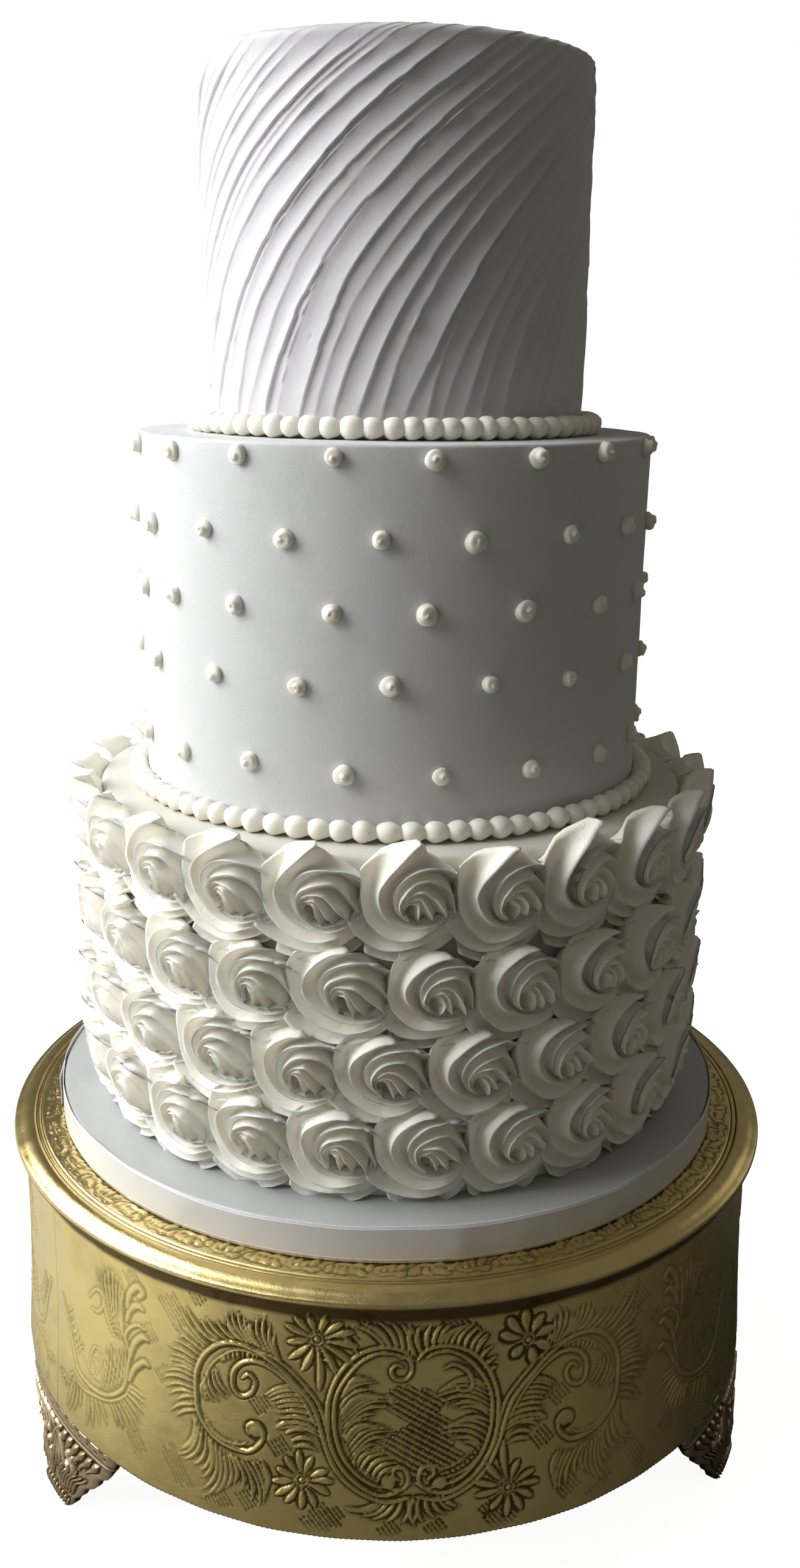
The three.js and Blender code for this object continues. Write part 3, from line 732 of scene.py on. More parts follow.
def edit(piece):
    """Goes into edit mode on one piece with nothing selected."""
    only(piece)
    bpy.ops.object.mode_set(mode="EDIT")
    bpy.ops.mesh.select_all(action="DESELECT")


def choose(piece, kind, test):
    """Selects the faces or edges of a piece in edit mode whose middle passes the test."""
    work = bmesh.from_edit_mesh(piece.data)
    bpy.ops.mesh.select_all(action="DESELECT")
    bpy.context.tool_settings.mesh_select_mode = (False, kind == "edges", kind == "faces")
    for part in getattr(work, kind):
        middle = sum((corner.co for corner in part.verts), Vector()) / len(part.verts)
        if test(middle, part):
            part.select = True
    work.select_flush_mode()
    bmesh.update_edit_mesh(piece.data)


def leave(piece):
    """Back to object mode, with the piece's place put into its mesh."""
    bpy.ops.object.mode_set(mode="OBJECT")
    bpy.ops.object.transform_apply(location=True, rotation=True, scale=True)
    return piece


def apply_modifier(piece, kind, **settings):
    """Adds a modifier, sets it and applies it at once."""
    modifier = piece.modifiers.new(kind.title(), kind)
    for setting, value in settings.items():
        setattr(modifier, setting, value)
    only(piece)
    bpy.ops.object.modifier_apply(modifier=modifier.name)


def round_piece(name, radius, bottom, top, sides):
    """A cylinder primitive at its real size and place, the start of a tier or a board."""
    bpy.ops.object.select_all(action="DESELECT")
    middle, tall = (0, 0, (bottom + top) / 2), top - bottom
    bpy.ops.mesh.primitive_cylinder_add(vertices=sides, radius=radius, depth=tall, location=middle)
    piece = bpy.context.object
    piece.name = name
    return leave(piece)


def cloud(name, size):
    """A texture of soft clouds, about size metres across, for a Displace modifier."""
    texture = bpy.data.textures.new(name, "CLOUDS")
    texture.noise_scale = size
    texture.noise_depth = 3
    return texture


def shade(piece, angle=35):
    """Smooth shading, except over edges that turn by more than angle degrees."""
    only(piece)
    bpy.ops.object.shade_smooth_by_angle(angle=math.radians(angle))


print("edit helpers ready")

# %% The bottom and middle tiers


def spread_tier(name, radius, bottom, top, edge, bands, unevenness):
    """A scraped tier: bands rows of faces on the side, a soft top edge and rings on its top."""
    piece = round_piece(name, radius, bottom, top, sides=192)
    edit(piece)
    choose(piece, "faces", lambda middle, face: face.normal.z > 0.9)
    for inset in (radius * 0.10, radius * 0.16, radius * 0.30):
        bpy.ops.mesh.inset(thickness=inset, depth=0)
    rim = radius * 0.99
    choose(piece, "edges", lambda middle, part: middle.z > top - 1e-5 and middle.xy.length > rim)
    bpy.ops.mesh.bevel(offset=edge, segments=5, affect="EDGES")
    for band in range(1, bands):
        height = bottom + (top - edge - bottom) * band / bands
        bpy.ops.mesh.select_all(action="SELECT")
        bpy.ops.mesh.bisect(plane_co=(0, 0, height), plane_no=(0, 0, 1))
    leave(piece)
    for kind, size, depth in (("_cloud", 45 * MM, unevenness), ("_fine", 11 * MM, unevenness * 0.25)):
        texture = cloud(name + kind, size)
        apply_modifier(piece, "DISPLACE", texture=texture, strength=depth, texture_coords="LOCAL")
    shade(piece)
    mark_hollows(piece, np.zeros(len(piece.data.vertices)))
    return piece


UNEVENNESS = 0.7 * MM
bottom_ends = tier_bottom, tier_top
bottom_icing = spread_tier("bottom_tier_icing", tier_radius, *bottom_ends, 2.5 * MM, 16, UNEVENNESS)
finish_piece(bottom_icing, ledge_ivory_painted_warmth, "buttercream_ivory", "bottom_tier")
MIDDLE_RADIUS = 108.0 * MM
middle_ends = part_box("middle_tier")[0].z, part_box("top_tier")[0].z - 0.3 * MM
middle_icing = spread_tier("middle_tier_icing", MIDDLE_RADIUS, *middle_ends, 1.5 * MM, 26, UNEVENNESS)
finish_piece(middle_icing, smooth_ivory, "buttercream_ivory", "middle_tier")

# %% [markdown]
# ## Beads and dots
# A bead border is piped with a small round tip: squeeze, stop, and drag a little to the right, where the
# next bead covers the tail. A dot on the tier's side is lifted straight off, which leaves a swirl and a
# soft point. Each kind is modelled once as a small net of points and copied with its own size and turn.

# %% Copies of a small template


def copies(name, template, quads, triangles, placements):
    """One mesh from a template and a function for each copy that puts its points in place."""
    points = np.concatenate([place(template.copy()) for place in placements])
    offsets = np.arange(len(placements))[:, None, None] * len(template)
    all_quads = (quads[None] + offsets).reshape(-1, 4)
    all_triangles = (triangles[None] + offsets).reshape(-1, 3)
    return mesh_piece(name, points, all_quads, all_triangles)


def ball_net(rings, sides):
    """A closed unit ball of rings by sides with its poles on x: points, quads and triangles."""
    polar = np.linspace(0, math.pi, rings + 2)[1:-1]
    around = np.arange(sides) * 2 * math.pi / sides
    x = np.broadcast_to(-np.cos(polar)[:, None], (rings, sides))
    y = np.sin(polar)[:, None] * np.cos(around)[None]
    z = np.sin(polar)[:, None] * np.sin(around)[None]
    points = np.concatenate([np.stack([x, y, z], -1).reshape(-1, 3), [[-1, 0, 0], [1, 0, 0]]])
    first_pole = fan(rings * sides, 0, sides, True)
    last_pole = fan(rings * sides + 1, (rings - 1) * sides, sides)
    poles = np.concatenate([first_pole, last_pole])
    return points, grid_quads(rings, sides, wrap=True)[:, ::-1], poles[:, ::-1]


def bead_border(name, seed, count, radius, bottom, bead, tail):
    """Beads of about bead = (along, out, up) in metres, side by side at the foot of a tier."""
    rng = np.random.default_rng(seed)
    template, quads, triangles = ball_net(9, 14)
    drawn = np.clip(template[:, 0], 0, 1)
    template[:, 1:] *= (1 - tail * drawn[:, None] ** 1.4)
    template[:, 0] += tail * 0.8 * drawn**2
    steps = 1 + rng.normal(0, 0.06, count)
    azimuths = np.cumsum(steps) / steps.sum() * 2 * math.pi

    def placed(azimuth, width, size, turn):
        def place(net):
            net = net + 0.035 * np.sin(net[:, [1, 2, 0]] * 5 + turn * 9)
            x, z = turned(net[:, 0], net[:, 2], turn)
            along = x * bead[0] / 2 * width
            out = net[:, 1] * bead[1] / 2 * size
            up = np.maximum(z * bead[2] / 2 * size, -bead[2] / 2 * 0.97) + bead[2] / 2 * 0.97
            return ring_point(azimuth + along / radius, radius + out, bottom + up)

        return place

    placements = []
    for azimuth, step in zip(azimuths, steps):
        shape = (step * rng.normal(1.12, 0.03), rng.normal(1, 0.05), rng.normal(-0.10, 0.08))
        placements.append(placed(azimuth, *shape))
    piece = copies(name, template, quads, triangles, placements)
    # Painted shade: the lower half of each bead takes up to 0.6 of the darker hollow colour.
    painted_underside_shade = np.tile(np.clip(-template[:, 2], 0, 1), count)
    mark_hollows(piece, painted_underside_shade * 0.6)
    return piece


BEAD_SINK = 0.2 * MM
# Of each border: its piece, seed and number of beads, how far in from the node's edge the beads' middles
# lie, a bead's size and how much of it tapers off
BEAD_BORDERS = {
    "middle_bead_border": ("middle_tier_beads", 7, 80, 4.6 * MM, (9.3 * MM, 8.8 * MM, 8.8 * MM), 0.32),
    "top_bead_border": ("top_tier_beads", 8, 67, 4.4 * MM, (8.7 * MM, 8.8 * MM, 8.8 * MM), 0.12),
}
for node, (name, seed, count, inset, bead, tail) in BEAD_BORDERS.items():
    border_outer, border_bottom, _ = node_ring(node)
    beads = bead_border(name, seed, count, border_outer - inset, border_bottom - BEAD_SINK, bead, tail)
    finish_piece(beads, bead_ivory, "buttercream_ivory", node)

# %% Dots on the middle tier
DOTS_PER_ROW = 18
DOT_RADIUS = 3.9 * MM
DOT_PROUD = 4.0 * MM
DOT_SPREAD = 0.6
DOT_ROW_HEIGHTS = [455.8 * MM, 426.4 * MM, 400.0 * MM, 371.8 * MM, 338.0 * MM]
DOT_ROW_AZIMUTHS = [8.3, -2.0, 8.6, 0.0, 9.9]


def dot_net(rings=7, sides=16):
    """A piped dot on the plane z = 0, of radius 1 and height 1: a dome with a swirl and a soft point."""
    share = np.linspace(0, 1, rings + 1)[1:]
    around = np.arange(sides) * 2 * math.pi / sides
    lean = np.sin(share * math.pi / 2)
    radius = np.cos(share * math.pi / 2 * 0.93)
    swirl = 0.08 * np.sin(share[:, None] * 9.5 - around[None]) * (share[:, None] > 0.15)
    outward = radius[:, None] + swirl
    height = lean[:, None] * 0.92 + swirl * 0.7
    base = np.stack([np.cos(around) * 0.93, np.sin(around) * 0.93, np.full(sides, -0.15)], -1)
    dome = np.stack([outward * np.cos(around), outward * np.sin(around), height], -1)
    points = np.concatenate([base[None], dome]).reshape(-1, 3)
    peak, under = len(points), len(points) + 1
    points = np.concatenate([points, [[0.06, 0.02, 1.03], [0, 0, -0.15]]])
    ends = np.concatenate([fan(peak, rings * sides, sides), fan(under, 0, sides, True)])
    return points, grid_quads(rings + 1, sides, wrap=True), ends


def dot_placement(rng, azimuth, height):
    """A function that puts a dot in its place, with a size, a turn and a shape of its own."""
    size, turn = rng.normal(1, 0.06), rng.uniform(0, 2 * math.pi)
    proud = rng.normal(1, 0.08)

    def place(net):
        net = net + 0.05 * np.sin(net[:, [1, 2, 0]] * 4 + turn * 7)
        x, y = turned(net[:, 0], net[:, 1], turn)
        spread = azimuth + x * DOT_RADIUS * size / MIDDLE_RADIUS
        out = net[:, 2] * DOT_PROUD * proud
        return ring_point(spread, MIDDLE_RADIUS + out, height + y * DOT_RADIUS * size)

    return place


rng = np.random.default_rng(18)
dot_places = []
for height, first in zip(DOT_ROW_HEIGHTS, DOT_ROW_AZIMUTHS):
    for k in range(DOTS_PER_ROW):
        azimuth = math.radians(first + 360 / DOTS_PER_ROW * k + rng.normal(0, 0.9))
        dot_places.append(dot_placement(rng, azimuth, height + rng.normal(0, DOT_SPREAD) * MM))
dot_points, dot_quads, dot_triangles = dot_net()
dots = copies("piped_dots", dot_points, dot_quads, dot_triangles, dot_places)
# Painted shade: the lower half of each dot, near the tier, takes the darker hollow colour.
mark_hollows(dots, np.tile(np.clip(0.5 - dot_points[:, 2], 0, 1), len(dot_places)))
finish_piece(dots, bead_ivory, "buttercream_ivory")

# %% [markdown]
# ## The knife-ribbed top tier
# The baker drew a small palette knife up the side again and again, steeply at the foot and leaning over
# to the right near the top. Each pull leaves a shallow trough, and pushes up a thin lip where it meets
# the last one. The lips wander, run together and tear here and there.
#
# The side is a net whose columns lean as the pulls do, so that each crisp lip runs along the net. At each
# height the lips are sorted round the cake, and a point's height follows from where it lies between two
# of them: it falls off sharply beside the left lip and climbs slowly to the right one.

# %% The pulls of the palette knife
PULLS = 60
LEAN_AT_FOOT, LEAN_AT_TOP = 0.25, 1.5
LIP_HEIGHT = 1.3 * MM
LIP_DRIFT, LIP_BOW, LIP_WAVER = 2.3 * MM, 1.5 * MM, 1.4 * MM
PITS = 14
TOP_TIER_RADIUS = 79.0 * MM
TOP_GIRTH = 2 * math.pi * TOP_TIER_RADIUS
TOP_COLUMNS, TOP_ROWS, TOP_RINGS = 648, 112, 12
TOP_EDGE = 6.0 * MM
_, top_bottom, top_top = node_ring("top_tier")


def lip_lines(rng, heights):
    """Where the lips lie along the leaning columns, in metres: one row for each height."""
    starts = (np.arange(PULLS) + rng.uniform(-0.26, 0.26, PULLS)) * TOP_GIRTH / PULLS
    share = heights / heights.max()
    drift = rng.normal(0, LIP_DRIFT, PULLS)[None] * share[:, None] ** 1.5
    bow = rng.normal(0, LIP_BOW, PULLS)[None] * np.sin(share * math.pi)[:, None]
    waver = np.zeros((len(heights), PULLS))
    for waves in (2, 3, 5, 9, 16, 31):
        phase = rng.uniform(0, 2 * math.pi, PULLS)[None]
        waver += np.sin(share[:, None] * waves * math.pi + phase) * LIP_WAVER / waves
    return starts[None] + drift + bow + waver


def knife_relief(rng, heights, columns):
    """The height of the icing over a plain side, in metres, for every height and leaning column."""
    lips = lip_lines(rng, heights)
    tallness = np.zeros((len(heights), PULLS))
    share = heights / heights.max()
    for waves in (1, 2, 4, 7, 13, 29):
        phase = rng.uniform(0, 2 * math.pi, PULLS)[None]
        tallness += np.sin(share[:, None] * waves * math.pi + phase) / waves**0.8
    tallness = np.clip(0.80 + 0.20 * tallness + rng.normal(0, 0.16, PULLS)[None], 0.12, 1.3)
    where = np.arange(columns) * TOP_GIRTH / columns
    relief = np.zeros((len(heights), columns))
    for row in range(len(heights)):
        place = lips[row] % TOP_GIRTH
        order = np.argsort(place)
        place, tall = place[order], tallness[row][order]
        right = np.searchsorted(place, where) % PULLS
        left = (right - 1) % PULLS
        gap = np.maximum((place[right] - place[left]) % TOP_GIRTH, 0.4 * MM)
        part = ((where - place[left]) % TOP_GIRTH) / gap
        full = np.clip(gap / (11 * MM), 0.15, 1.15)
        trough = 0.34 * (1 - part / 0.42) ** 2 * (part < 0.42)
        climb = np.clip((part - 0.30) / 0.70, 0, 1) ** 1.9
        step = np.exp(-((part * gap) / (0.45 * MM)) ** 2)
        shape = np.maximum(trough * tall[left], climb * tall[right])
        relief[row] = np.maximum(shape, step * tall[left] * 0.96) * full
    return relief * LIP_HEIGHT


def knife_side(rng):
    """Azimuth, radius and height of every point of the side, with pits and a soft foot."""
    rows = np.linspace(0, 1, TOP_ROWS)
    heights = rows * (top_top - top_bottom - TOP_EDGE * 0.5)
    relief = knife_relief(rng, heights, TOP_COLUMNS)
    tall = heights.max()
    lean = LEAN_AT_FOOT * heights + (LEAN_AT_TOP - LEAN_AT_FOOT) * heights * (heights / tall) ** 1.3 / 2.3
    azimuth = np.arange(TOP_COLUMNS)[None] * 2 * math.pi / TOP_COLUMNS + lean[:, None] / TOP_TIER_RADIUS
    foot_fade = np.clip((heights - 5 * MM) / (10 * MM), 0, 1)[:, None]
    top_fade = np.clip((tall - heights) / (9 * MM), 0.25, 1)[:, None]
    low = np.linspace(0, 2 * math.pi, TOP_COLUMNS, endpoint=False)[None]
    swell = 0.35 * MM * np.sin(3 * low + 1 + rows[:, None] * 2) + 0.25 * MM * np.sin(7 * low + 4)
    radius = TOP_TIER_RADIUS - 0.5 * MM + relief * (0.35 + 0.65 * foot_fade) * top_fade + swell * 0.6
    for _ in range(PITS):
        row, column = int(rng.uniform(6, TOP_ROWS - 6)), int(rng.uniform(0, TOP_COLUMNS))
        radius[row, column] -= rng.uniform(0.3, 0.6) * MM
    return azimuth, radius, heights, relief


def knife_tier():
    """The whole top tier: its side, a round edge and the rings of its top, closed above and below."""
    azimuth, radius, heights, relief = knife_side(np.random.default_rng(5))
    rings = [ring_point(azimuth[r], radius[r], top_bottom + heights[r]) for r in range(TOP_ROWS)]
    # Painted shade: the further a point lies below the lips' height, the more it takes the darker hollow
    # colour.
    hollows = [1 - relief[r] / LIP_HEIGHT for r in range(TOP_ROWS)]
    for k in range(1, TOP_RINGS + 1):
        share = k / TOP_RINGS
        bend = min(share * 3, 1) * math.pi / 2
        inward = (1 - math.cos(bend)) * TOP_EDGE * 0.75
        inward += max(share - 1 / 3, 0) * 1.5 * TOP_TIER_RADIUS * 0.95
        rise = math.sin(bend) * TOP_EDGE * 0.5
        lift = relief[-1] * max(1 - share * 0.8, 0.1) * 0.3 * math.sin(bend)
        ring_radius = np.maximum(radius[-1] - inward, 1 * MM)
        height = top_bottom + heights[-1] + rise + lift
        rings.append(ring_point(azimuth[-1] + share * 0.5, ring_radius, height))
        # The rings of the top get a fixed 0.4, so the top is a little darker all over.
        hollows.append(np.full(TOP_COLUMNS, 0.4))
    points = np.concatenate(rings)
    count = TOP_ROWS + TOP_RINGS
    top_point, foot_point = len(points), len(points) + 1
    top_height = points[-TOP_COLUMNS:, 2].mean()
    points = np.concatenate([points, [[0, 0, top_height], [0, 0, top_bottom]]])
    top_fan = fan(top_point, (count - 1) * TOP_COLUMNS, TOP_COLUMNS)
    foot_fan = fan(foot_point, 0, TOP_COLUMNS, True)
    quads = grid_quads(count, TOP_COLUMNS, wrap=True)
    piece = mesh_piece("top_tier_icing", points, quads, np.concatenate([top_fan, foot_fan]))
    mark_hollows(piece, np.concatenate([np.concatenate(hollows), [0.4, 0.4]]))
    return piece


finish_piece(knife_tier(), knifed_white, "buttercream_white", "top_tier")

# %% [markdown]
# ## The drum and its ribbon
# The drum is a thick board covered in foil. Its top edge is pressed round by the foil, and the ribbon is
# wrapped round its edge and glued at the left, where its cut end frays a little. The ribbon is thin cloth
# under tension: it stands off the board by a hair in places, and its upper edge rises above the board.

# %% The drum
board_radius, board_bottom, board_top = node_ring("cake_board")


def outer_edge(middle, edge):
    """Whether an edge lies on the outside of the drum and joins its side to its top or bottom."""
    return middle.xy.length > board_radius * 0.999 and abs(edge.calc_face_angle(0)) > 1


drum = round_piece("foil_drum", board_radius, board_bottom, board_top, sides=256)
edit(drum)
choose(drum, "faces", lambda middle, face: face.normal.z > 0.9)
for inset in (2.5 * MM, 4 * MM, 8 * MM, 20 * MM, 40 * MM):
    bpy.ops.mesh.inset(thickness=inset, depth=0)
choose(drum, "edges", outer_edge)
bpy.ops.mesh.bevel(offset=1.0 * MM, segments=3, affect="EDGES")
leave(drum)
dents = {"texture": cloud("drum_dents", 24 * MM), "strength": 0.35 * MM, "mid_level": 0.75}
apply_modifier(drum, "DISPLACE", texture_coords="LOCAL", **dents)
shade(drum)
finish_piece(drum, drum_foil, "board_foil", "cake_board")

# %% The ribbon
RIBBON_TURNS = 1.015
RIBBON_START = math.radians(-84)
RIBBON_THICK = 0.35 * MM
CREASES = 70
ribbon_outer, ribbon_bottom, ribbon_top = node_ring("board_ribbon")
ribbon_columns, ribbon_rows = 900, 10
ribbon_width = ribbon_top - ribbon_bottom


def ribbon_surface():
    """The outer face of the ribbon as a grid of points from end to end, and its azimuths."""
    along = np.linspace(0, 1, ribbon_columns)[None]
    across = np.linspace(0, 1, ribbon_rows)[:, None]
    azimuth = RIBBON_START + along * 2 * math.pi * RIBBON_TURNS
    rng = np.random.default_rng(21)
    crease = np.zeros((ribbon_rows, ribbon_columns))
    for _ in range(CREASES):
        middle, width, tilt = rng.uniform(0, 1), rng.uniform(0.003, 0.014), rng.uniform(-0.022, 0.022)
        crease += rng.uniform(-0.6, 1.1) * np.exp(-(((along - middle + tilt * across) / width) ** 2))
    crease = np.clip(crease, -1.1, 2.2) * (0.25 + 0.75 * np.sin(across * math.pi) ** 0.6)
    over = np.clip((along - 1 / RIBBON_TURNS) / (1 - 1 / RIBBON_TURNS), 0, 1)
    lap = 0.55 * MM * over**0.4 + 0.9 * MM * over**3
    radius = ribbon_outer - 0.45 * MM + crease * 0.6 * MM + lap
    edge = 0.45 * MM * np.sin(azimuth * 7 + 1) + 0.25 * MM * np.sin(azimuth * 19)
    edge = edge - crease[-1:] * 0.35 * MM
    height = ribbon_bottom + across * ribbon_width + edge * across
    return ring_point(azimuth, radius, height), azimuth


outer_face, ribbon_azimuth = ribbon_surface()
inner_face = outer_face - ring_point(ribbon_azimuth, RIBBON_THICK, 0)
per_face = ribbon_rows * ribbon_columns
quads = grid_quads(ribbon_rows, ribbon_columns)
index = np.arange(per_face).reshape(ribbon_rows, ribbon_columns)
border = np.concatenate([index[0, :], index[1:, -1], index[-1, -2::-1], index[-2:0:-1, 0]])
after = np.roll(border, -1)
hem = np.stack([border, border + per_face, after + per_face, after], 1)
ribbon_quads = np.concatenate([quads, quads[:, ::-1] + per_face, hem])
ribbon_points = np.concatenate([outer_face.reshape(-1, 3), inner_face.reshape(-1, 3)])
ribbon = mesh_piece("satin_ribbon", ribbon_points, ribbon_quads)
uv_layer = ribbon.data.uv_layers.new(name="ribbon")
u = np.tile(np.linspace(0, 1, ribbon_columns)[None], (ribbon_rows, 1)).ravel()
v = np.tile(np.linspace(0, 1, ribbon_rows)[:, None], (1, ribbon_columns)).ravel()
point_uv = np.tile(np.stack([u, v], 1), (2, 1))
loop_points = np.zeros(len(ribbon.data.loops), np.int32)
ribbon.data.loops.foreach_get("vertex_index", loop_points)
uv_layer.data.foreach_set("uv", point_uv[loop_points].astype(np.float32).ravel())
finish_piece(ribbon, white_satin, "ribbon_satin", "board_ribbon")

# %% [markdown]
# ## Chasing the brass
# The skirt of the stand is covered in scrollwork: a heart-shaped frame of two C-scrolls between the feet,
# with leaves inside and out, large spirals on both sides, daisies, and patches of hatching. A metalworker
# draws it with strokes of a punch. It is made the same way here: a sheet of heights on a fine grid, and
# one function that presses a tapering stroke into it. Leaves, fans, scrolls and flowers are strokes.

# %% The sheet and the punch


class Chasing:
    """A flat sheet of metal, width by height in mm, as heights in mm on a fine grid. x is 0 mid-width."""

    def __init__(self, width, height, step=0.32):
        self.step, self.left = step, -width / 2
        self.rows, self.columns = int(height / step) + 1, int(width / step) + 1
        self.relief = np.zeros((self.rows, self.columns))

    def window(self, low, high):
        """The part of the grid between two corners, with the x and y of its points."""
        first_column = int(np.clip((low[0] - self.left) / self.step, 0, self.columns - 1))
        last_column = int(np.clip((high[0] - self.left) / self.step + 2, 0, self.columns))
        first_row = int(np.clip(low[1] / self.step, 0, self.rows - 1))
        last_row = int(np.clip(high[1] / self.step + 2, 0, self.rows))
        part = (slice(first_row, last_row), slice(first_column, last_column))
        x = self.left + np.arange(first_column, last_column)[None] * self.step
        y = np.arange(first_row, last_row)[:, None] * self.step
        return part, x, y

    def stroke(self, points, widths, height=0.8, groove=0.35):
        """Raises a stroke along points, with half widths in mm, and sinks a thin groove beside it."""
        points, widths = np.asarray(points, float), np.maximum(np.asarray(widths, float), 0.15)
        widest = widths.max() * 1.9
        part, x, y = self.window(points.min(0) - widest, points.max(0) + widest)
        if x.size == 0 or y.size == 0:
            return
        nearest = np.full((y.size, x.size), 9.0)
        for a, b, wide_a, wide_b in zip(points[:-1], points[1:], widths[:-1], widths[1:]):
            span = b - a
            length = max(float(span @ span), 1e-9)
            share = np.clip(((x - a[0]) * span[0] + (y - a[1]) * span[1]) / length, 0, 1)
            distance = np.hypot(x - a[0] - share * span[0], y - a[1] - share * span[1])
            nearest = np.minimum(nearest, distance / (wide_a + share * (wide_b - wide_a)))
        dome = height * np.clip(1 - nearest**2, 0, 1) ** 0.7
        sink = groove * np.clip(1 - ((nearest - 1.28) / 0.5) ** 2, 0, 1)
        area = self.relief[part]
        pressed = np.maximum(dome, area * 0.5) if height > 0 else area + dome
        self.relief[part] = np.where(nearest < 1, pressed, area - sink * (area > -groove))

    def sample(self, x, y):
        """The heights at places that lie between the points of the grid."""
        column = np.clip((x - self.left) / self.step, 0, self.columns - 1.001)
        row = np.clip(y / self.step, 0, self.rows - 1.001)
        c, r = column.astype(int), row.astype(int)
        across, up = column - c, row - r
        low = self.relief[r, c] * (1 - across) + self.relief[r, c + 1] * across
        high = self.relief[r + 1, c] * (1 - across) + self.relief[r + 1, c + 1] * across
        return low * (1 - up) + high * up

    def hollows(self):
        """How sunken each point is among its neighbours, from 0 to 1, as a sheet of its own."""
        broad = self.relief.copy()
        for shift in (1, 2, 4):
            for axis in (0, 1):
                broad = (broad + np.roll(broad, shift, axis) + np.roll(broad, -shift, axis)) / 3
        sunk = Chasing.__new__(Chasing)
        sunk.step, sunk.left, sunk.rows, sunk.columns = self.step, self.left, self.rows, self.columns
        sunk.relief = np.clip((broad - self.relief) / 0.24 + (self.relief < -0.10) * 0.45, 0, 1)
        return sunk


def heading(angle):
    """The way that an angle in degrees points, against the clock from x."""
    return np.array([math.cos(math.radians(angle)), math.sin(math.radians(angle))])


def blow(sheet, place, radius, height, groove=0.35):
    """One blow of a round punch, which raises a bump, or a dent where height is negative."""
    place = np.asarray(place, float)
    sheet.stroke([place, place + [0.1, 0]], [radius, radius], height, groove)


def tapered(count, widest, middle=0.5):
    """Half widths of a leaf: thin at both ends and widest at the share middle of its length."""
    share = np.linspace(0, 1, count)
    return widest * np.sin(math.pi * share ** (math.log(0.5) / math.log(middle))) ** 0.8 + 0.12


def leaf(sheet, root, tip, bend=0.2, wide=1.1, height=0.8, middle=0.6):
    """A comma-shaped leaf from root to tip that bends to its left by a share of its length."""
    root, tip = np.asarray(root, float), np.asarray(tip, float)
    along = tip - root
    side = np.array([-along[1], along[0]]) * bend
    share = np.linspace(0, 1, 9)[:, None]
    path = root + along * share + side * np.sin(share * math.pi * 0.9)
    sheet.stroke(path, tapered(9, wide, middle), height)


def line(sheet, points, wide=0.9, height=0.8, count=28, ends=0.5):
    """A stem through a few points, of nearly even width."""
    widths = wide * (ends + (1 - ends) * np.sin(np.linspace(0, math.pi, count)) ** 0.5)
    sheet.stroke(through(np.asarray(points, float), count), widths, height)


def volute(centre, radius, start, turns, side, count=22):
    """Points of a curl that winds in from radius at the angle start, in degrees, to its eye."""
    share = np.linspace(0, 1, count)
    angle = math.radians(start) + side * share * turns * 2 * math.pi
    reach = radius * (1 - share * 0.82)
    return np.asarray(centre, float) + np.stack([np.cos(angle), np.sin(angle)], 1) * reach[:, None]


print("punches ready")

# %% [markdown]
# The pattern is drawn for a third of the skirt, from foot to foot, with the heart in the middle at x = 0,
# and repeated three times. All places are in mm: x along the metal from the heart's axis, and y up from
# the skirt's lower edge. The stems come first: the double line of the heart, the large spiral beside it
# and the lyre beside the foot. Each has its half width, its height and the places that it runs through.
# The right half mirrors the left one.

